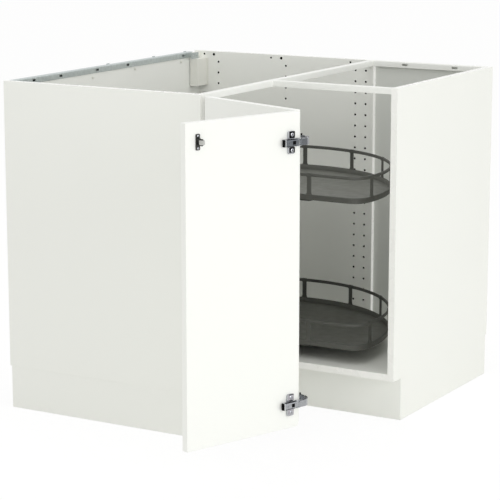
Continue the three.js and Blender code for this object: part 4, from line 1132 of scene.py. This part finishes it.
# ---------- stage, camera, light ----------
def stage_floor():
    """A large pale floor just under the part. The camera sees it as nearly even white, with soft shadows."""
    bm = bmesh.new()
    bmesh.ops.create_grid(bm, x_segments=4, y_segments=4, size=60)
    mesh = bpy.data.meshes.new("floor")
    bm.to_mesh(mesh)
    bm.free()
    mesh.transform(Matrix.Translation((0, 0, -0.0004)))
    floor = placed("studio_floor", mesh)
    m = bpy.data.materials.new("studio_floor")
    m.use_nodes = True
    nodes, links = m.node_tree.nodes, m.node_tree.links
    nodes.remove(nodes["Principled BSDF"])
    matte = nodes.new("ShaderNodeBsdfDiffuse")
    matte.inputs["Color"].default_value = (0.93, 0.93, 0.92, 1)
    glow = nodes.new("ShaderNodeEmission")
    glow.inputs["Strength"].default_value = 1.04
    path = nodes.new("ShaderNodeLightPath")
    seen = nodes.new("ShaderNodeMath")
    seen.operation = "MULTIPLY"
    seen.inputs[1].default_value = 0.86
    mix = nodes.new("ShaderNodeMixShader")
    links.new(path.outputs["Is Camera Ray"], seen.inputs[0])
    links.new(seen.outputs[0], mix.inputs[0])
    links.new(matte.outputs[0], mix.inputs[1])
    links.new(glow.outputs[0], mix.inputs[2])
    links.new(mix.outputs[0], nodes["Material Output"].inputs["Surface"])
    mesh.materials.append(m)


def world(strength):
    """Soft light all round. Camera, mirrored and transmitted rays see plain white instead."""
    w = bpy.data.worlds.new("studio")
    bpy.context.scene.world = w
    w.use_nodes = True
    nodes, links = w.node_tree.nodes, w.node_tree.links
    soft = nodes["Background"]
    soft.inputs["Color"].default_value = (1, 1, 0.985, 1)
    soft.inputs["Strength"].default_value = strength
    white = nodes.new("ShaderNodeBackground")
    white.inputs["Strength"].default_value = 1.0
    white.inputs["Color"].default_value = (1, 1, 1, 1)
    path = nodes.new("ShaderNodeLightPath")
    first = nodes.new("ShaderNodeMath")
    second = nodes.new("ShaderNodeMath")
    first.operation = second.operation = "MAXIMUM"
    links.new(path.outputs["Is Camera Ray"], first.inputs[0])
    links.new(path.outputs["Is Glossy Ray"], first.inputs[1])
    links.new(first.outputs[0], second.inputs[0])
    links.new(path.outputs["Is Transmission Ray"], second.inputs[1])
    mix = nodes.new("ShaderNodeMixShader")
    links.new(second.outputs[0], mix.inputs[0])
    links.new(soft.outputs[0], mix.inputs[1])
    links.new(white.outputs[0], mix.inputs[2])
    links.new(mix.outputs[0], nodes["World Output"].inputs["Surface"])


def lamp(name, at, target, size, watts):
    """A square area light, in metres and watts."""
    light = bpy.data.lights.new(name, "AREA")
    light.shape, light.size, light.energy = "SQUARE", size, watts
    o = placed(name, light)
    o.location = at
    o.rotation_euler = (Vector(target) - Vector(at)).to_track_quat("-Z", "Y").to_euler()


def camera(at, down, turn, lens):
    """The photo's camera, in metres, radians and millimetres: pitched down and turned to the left."""
    optics = bpy.data.cameras.new("photo_camera")
    optics.sensor_fit, optics.sensor_width = "HORIZONTAL", 36
    optics.lens = lens
    optics.clip_start, optics.clip_end = 0.1, 200
    eye = placed("photo_camera", optics)
    eye.location = at
    eye.rotation_euler = (math.pi / 2 - down, 0, turn)
    bpy.context.scene.camera = eye


stage_floor()
world(0.70)
lamp("key", (5.0, -1.7, 1.7), (0.1, 0, 0.4), 2.4, 55.5)
lamp("front", (1.9, -4.7, 1.1), (0.2, 0, 0.4), 1.8, 15)
lamp("fill", (-4.0, -2.9, 1.1), (-0.1, -0.4, 0.4), 2.2, 5)
lamp("top", (0.0, -0.2, 3.6), (-0.1, 0, 0.4), 2.4, 18)
camera((2.62631, -4.54867, 1.45227), down=0.1989, turn=0.5267, lens=141.33)

bpy.context.scene.view_settings.view_transform = "Standard"
